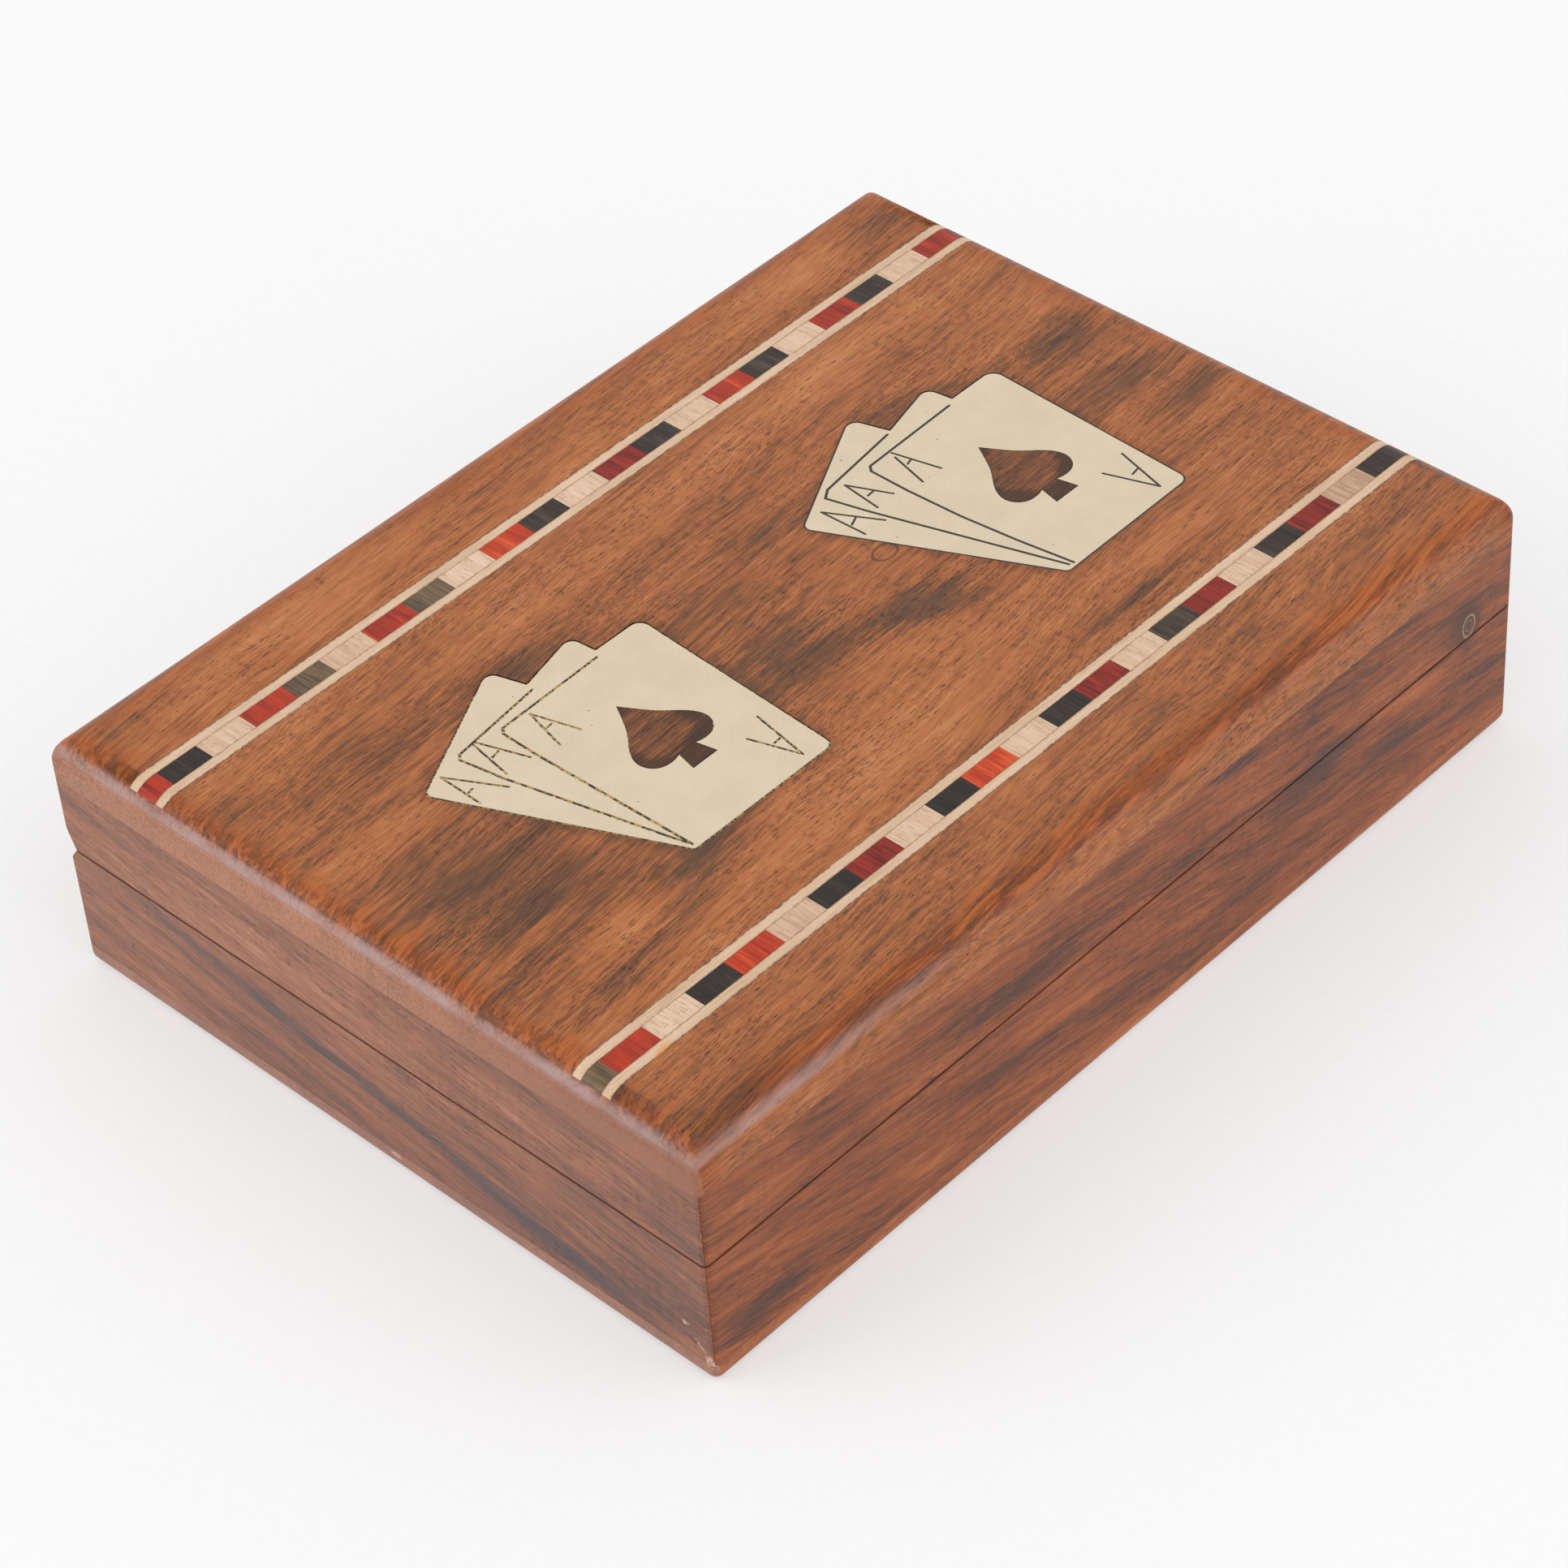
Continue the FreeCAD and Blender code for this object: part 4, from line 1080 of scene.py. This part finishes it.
for use, look in brassLook.items():
    brassMaterials[use], tree, spot = newMaterial(look["name"])
    made = patterns(tree, spot, {"soft": brassWear["soft"]})
    scratches = []
    for turn in brassWear["scratchTurns"]:
        turned = addNode(tree, "Mapping", {
            "Vector": spot, "Rotation": (0, 0, math.radians(turn))})
        scratches.append(patterns(tree, turned, {"scratch": brassWear["scratch"]})["scratch"])
    marks = addNode(tree, "Math", scratches, operation="MULTIPLY")
    tone = mixed(tree, 0.7, {**made, "marks": marks}, brassWear["mix"])
    colour = addNode(tree, "ValToRGB", (tone,), look["colours"])
    dots = addNode(tree, "TexVoronoi", {"Vector": spot, "Scale": brassWear["pits"]})
    chance = addNode(tree, "SeparateColor", (dots.outputs["Color"],)).outputs[1]
    pit = addNode(tree, "MapRange", (dots, *brassWear["pitSize"]), **softly)
    some = addNode(tree, "MapRange", (chance, *brassWear["pitChance"]), **softly)
    pit = addNode(tree, "Math", (pit, some), operation="MULTIPLY")
    colour = addNode(tree, "Mix", {0: pit, 6: colour, 7: brassWear["pitColour"]}, **colours)
    dull = addNode(tree, "Math", (marks, brassWear["scratchDull"], look["roughness"]),
                   operation="MULTIPLY_ADD")
    relief = addNode(tree, "Math", (pit, brassWear["pitDepth"], marks), operation="MULTIPLY_ADD")
    surface(tree, relief, look["relief"], {
        "Base Color": colour, "Metallic": 1.0, "Roughness": dull})


# Black lac, shellac melted with soot and rubbed flush: nearly black, brown where it is thin,
# with brass showing through where the left fan was rubbed harder
lacLook = {
    "names": {"left": "ThinBlackLac", "right": "BlackLac"},
    "brassFrom": {"left": 0.485, "right": 0.74},   # the lower, the more brass shows
    "sizes": {"soft": (1.2, 1.2, 1.2, 3), "flakes": (0.35, 0.8, 0.8, 3)},
    "colours": ((0.3, "#1C120C"), (0.6, "#35241A"), (0.85, "#54402C")), "brass": "#C9B07A",
    "relief": 0.01 * mm,
}
lacMaterials = {}
for hand, title in lacLook["names"].items():
    lacMaterials[hand], tree, spot = newMaterial(title)
    made = patterns(tree, spot, lacLook["sizes"])
    colour = addNode(tree, "ValToRGB", (made["soft"],), lacLook["colours"])
    bright = lacLook["brassFrom"][hand]
    shine = addNode(tree, "MapRange", (made["flakes"], bright, bright + 0.06), **softly)
    colour = addNode(tree, "Mix", {0: shine, 6: colour, 7: lacLook["brass"]}, **colours)
    surface(tree, made["soft"], lacLook["relief"], {
        "Base Color": colour, "Roughness": 0.4, "IOR": 1.52, "Metallic": shine})


# Flocked felt: short dyed nylon fibres stood up on a backing, deep and matt, with a soft
# light along the tops of the fibres
feltLook = {
    "colours": ((0.2, "#3E070C"), (0.5, "#660F16"), (0.8, "#8C2228")), "sheen": "#B4545A",
    "sizes": {"nap": (0.35, 0.35, 0.35, 3), "brushed": (9, 14, 9, 3)},
    "mix": {"nap": 0.7, "brushed": 0.7}, "pile": 0.12 * mm,
}
feltMaterial, tree, spot = newMaterial("RedFlockedFelt")
made = patterns(tree, spot, feltLook["sizes"])
tone = mixed(tree, 0.5, made, feltLook["mix"])
colour = addNode(tree, "ValToRGB", (tone,), feltLook["colours"])
surface(tree, made["nap"], feltLook["pile"], {
    "Base Color": colour, "Roughness": 0.95, "Sheen Weight": 0.35, "Sheen Roughness": 0.5,
    "Sheen Tint": feltLook["sheen"]})
print("materials ready")


# Every piece gets its finish and its body

def coat(piece, material):
    piece.data.materials.clear()
    piece.data.materials.append(material)


for key, wall in walls.items():
    half, side = key.split("_")
    finish(wall, half, [half + "_" + side + "_wall"])
    coat(wall, wallMaterials[side])
finish(topBoard, "lid", ["lid_panel"])
coat(topBoard, boardMaterial)
finish(floorBoard, "base", ["base_bottom"])
coat(floorBoard, floorMaterial)
finish(divider, "base", ["base_divider"])
coat(divider, dividerMaterial)
for part, where, kind, node in bandParts:
    if kind in blockMaterials:
        finish(part, "lid", [node])
        setBlockTones(part, where, kind)
        coat(part, blockMaterials[kind])
    else:
        finish(part, "lid", [node])
        coat(part, stringMaterial)
for hand, lac in lacFills.items():
    finish(lac, "lid", smooth=30)
    coat(lac, lacMaterials[hand])
    coat(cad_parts[hand + "_brass_fan"], brassMaterials["fan"])
    coat(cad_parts[hand + "_spade_insert"], spadeMaterial)
    for node in ("_hinge_base_leaf", "_hinge_lid_leaf", "_hinge_pin"):
        coat(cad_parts[hand + node], brassMaterials["hinge"])
for node in ("base_hinge_screws", "lid_hinge_screws"):
    coat(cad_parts[node], brassMaterials["hinge"])
for node, felt in linings.items():
    half, board = ("lid", "topBoard") if node == "lid_lining" else ("base", "floorBoard")
    finish(felt, half, [node], smooth=60)
    coat(felt, feltMaterial)
    low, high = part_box(node)
for form in (lidForm, baseForm):
    bpy.data.objects.remove(form)


# Camera, lamps and table

cameraValues = {"place": (-327.0, -336.8, 433.4), "azimuth": 43.83, "elevation": 42.07,
                "roll": -4.58, "lens": 111.9}    # millimetres and degrees
camera = bpy.data.objects.new("camera", bpy.data.cameras.new("camera"))
bpy.context.scene.collection.objects.link(camera)
azimuth, elevation, roll = (
    math.radians(cameraValues[name]) for name in ("azimuth", "elevation", "roll"))
ahead = Vector((math.sin(azimuth) * math.cos(elevation), math.cos(azimuth) * math.cos(elevation),
                -math.sin(elevation)))
rightHand = ahead.cross(Vector((0, 0, 1))).normalized()
upward = rightHand.cross(ahead)
cameraX = rightHand * math.cos(roll) + upward * math.sin(roll)
cameraY = upward * math.cos(roll) - rightHand * math.sin(roll)
turned = Matrix((cameraX, cameraY, -ahead)).transposed().to_4x4()
camera.matrix_world = Matrix.Translation(Vector(cameraValues["place"]) * mm) @ turned
camera.data.lens = cameraValues["lens"]
camera.data.sensor_width = 36
bpy.context.scene.camera = camera

lampValues = {
    "key": {"place": (-1.2, 0.86, 0.9), "size": 1.2, "power": 7.5},
    "fill": {"place": (0.35, -1.3, 0.95), "size": 1.7, "power": 7.3},
}
for name, lamp in lampValues.items():
    bpy.ops.object.light_add(type="AREA", location=lamp["place"])
    light = bpy.context.active_object
    light.name = name
    light.data.shape = "SQUARE"
    light.data.size = lamp["size"]
    light.data.energy = lamp["power"]
    light.rotation_euler = (-Vector(lamp["place"])).to_track_quat("-Z", "Y").to_euler()

backdrop = {"light": 0.79, "white": "#FFFFFF", "paperLift": 0.45,
            "paper": ((0.3, "#F4F4F4"), (0.7, "#F8F8F8")), "grit": (1.5, 1.5, 1.5, 3),
            "side": 6, "drop": 0.02 * mm}


def seenDirectly(tree):
    # true for what the camera sees, and for what shows in gloss or through glass
    rays = addNode(tree, "LightPath").outputs
    seen = addNode(tree, "Math", (rays["Is Camera Ray"], rays["Is Glossy Ray"]),
                   operation="MAXIMUM")
    return addNode(tree, "Math", (seen, rays["Is Transmission Ray"]), operation="MAXIMUM")


world = bpy.data.worlds.new("studio")
bpy.context.scene.world = world
world.use_nodes = True
tree = world.node_tree
tree.nodes.clear()
dim = addNode(tree, "Background", {"Color": backdrop["white"], "Strength": backdrop["light"]})
pale = addNode(tree, "Background", {"Color": backdrop["white"], "Strength": 1.0})
sky = addNode(tree, "MixShader", (seenDirectly(tree), dim, pale))
addNode(tree, "OutputWorld", {"Surface": sky})

bpy.ops.object.select_all(action="DESELECT")
bpy.ops.mesh.primitive_plane_add(size=backdrop["side"], location=(0, 0, -backdrop["drop"]))
table = bpy.context.active_object
table.name = "table"
# matt white paper, faintly cloudy, that keeps the shadow
tableMaterial, tree, spot = newMaterial("WhitePaperTable")
grit = patterns(tree, spot, {"grit": backdrop["grit"]})["grit"]
grit = addNode(tree, "ValToRGB", (grit,), backdrop["paper"])
paper = addNode(tree, "BsdfDiffuse", {"Color": grit})
glow = addNode(tree, "Emission", {"Color": backdrop["white"], "Strength": 1.0})
lift = addNode(tree, "Math", (seenDirectly(tree), backdrop["paperLift"]), operation="MULTIPLY")
both = addNode(tree, "MixShader", (lift, paper, glow))
addNode(tree, "OutputMaterial", {"Surface": both})
table.data.materials.append(tableMaterial)
bpy.context.scene.view_settings.view_transform = "Standard"
print("camera, lamps and table set")
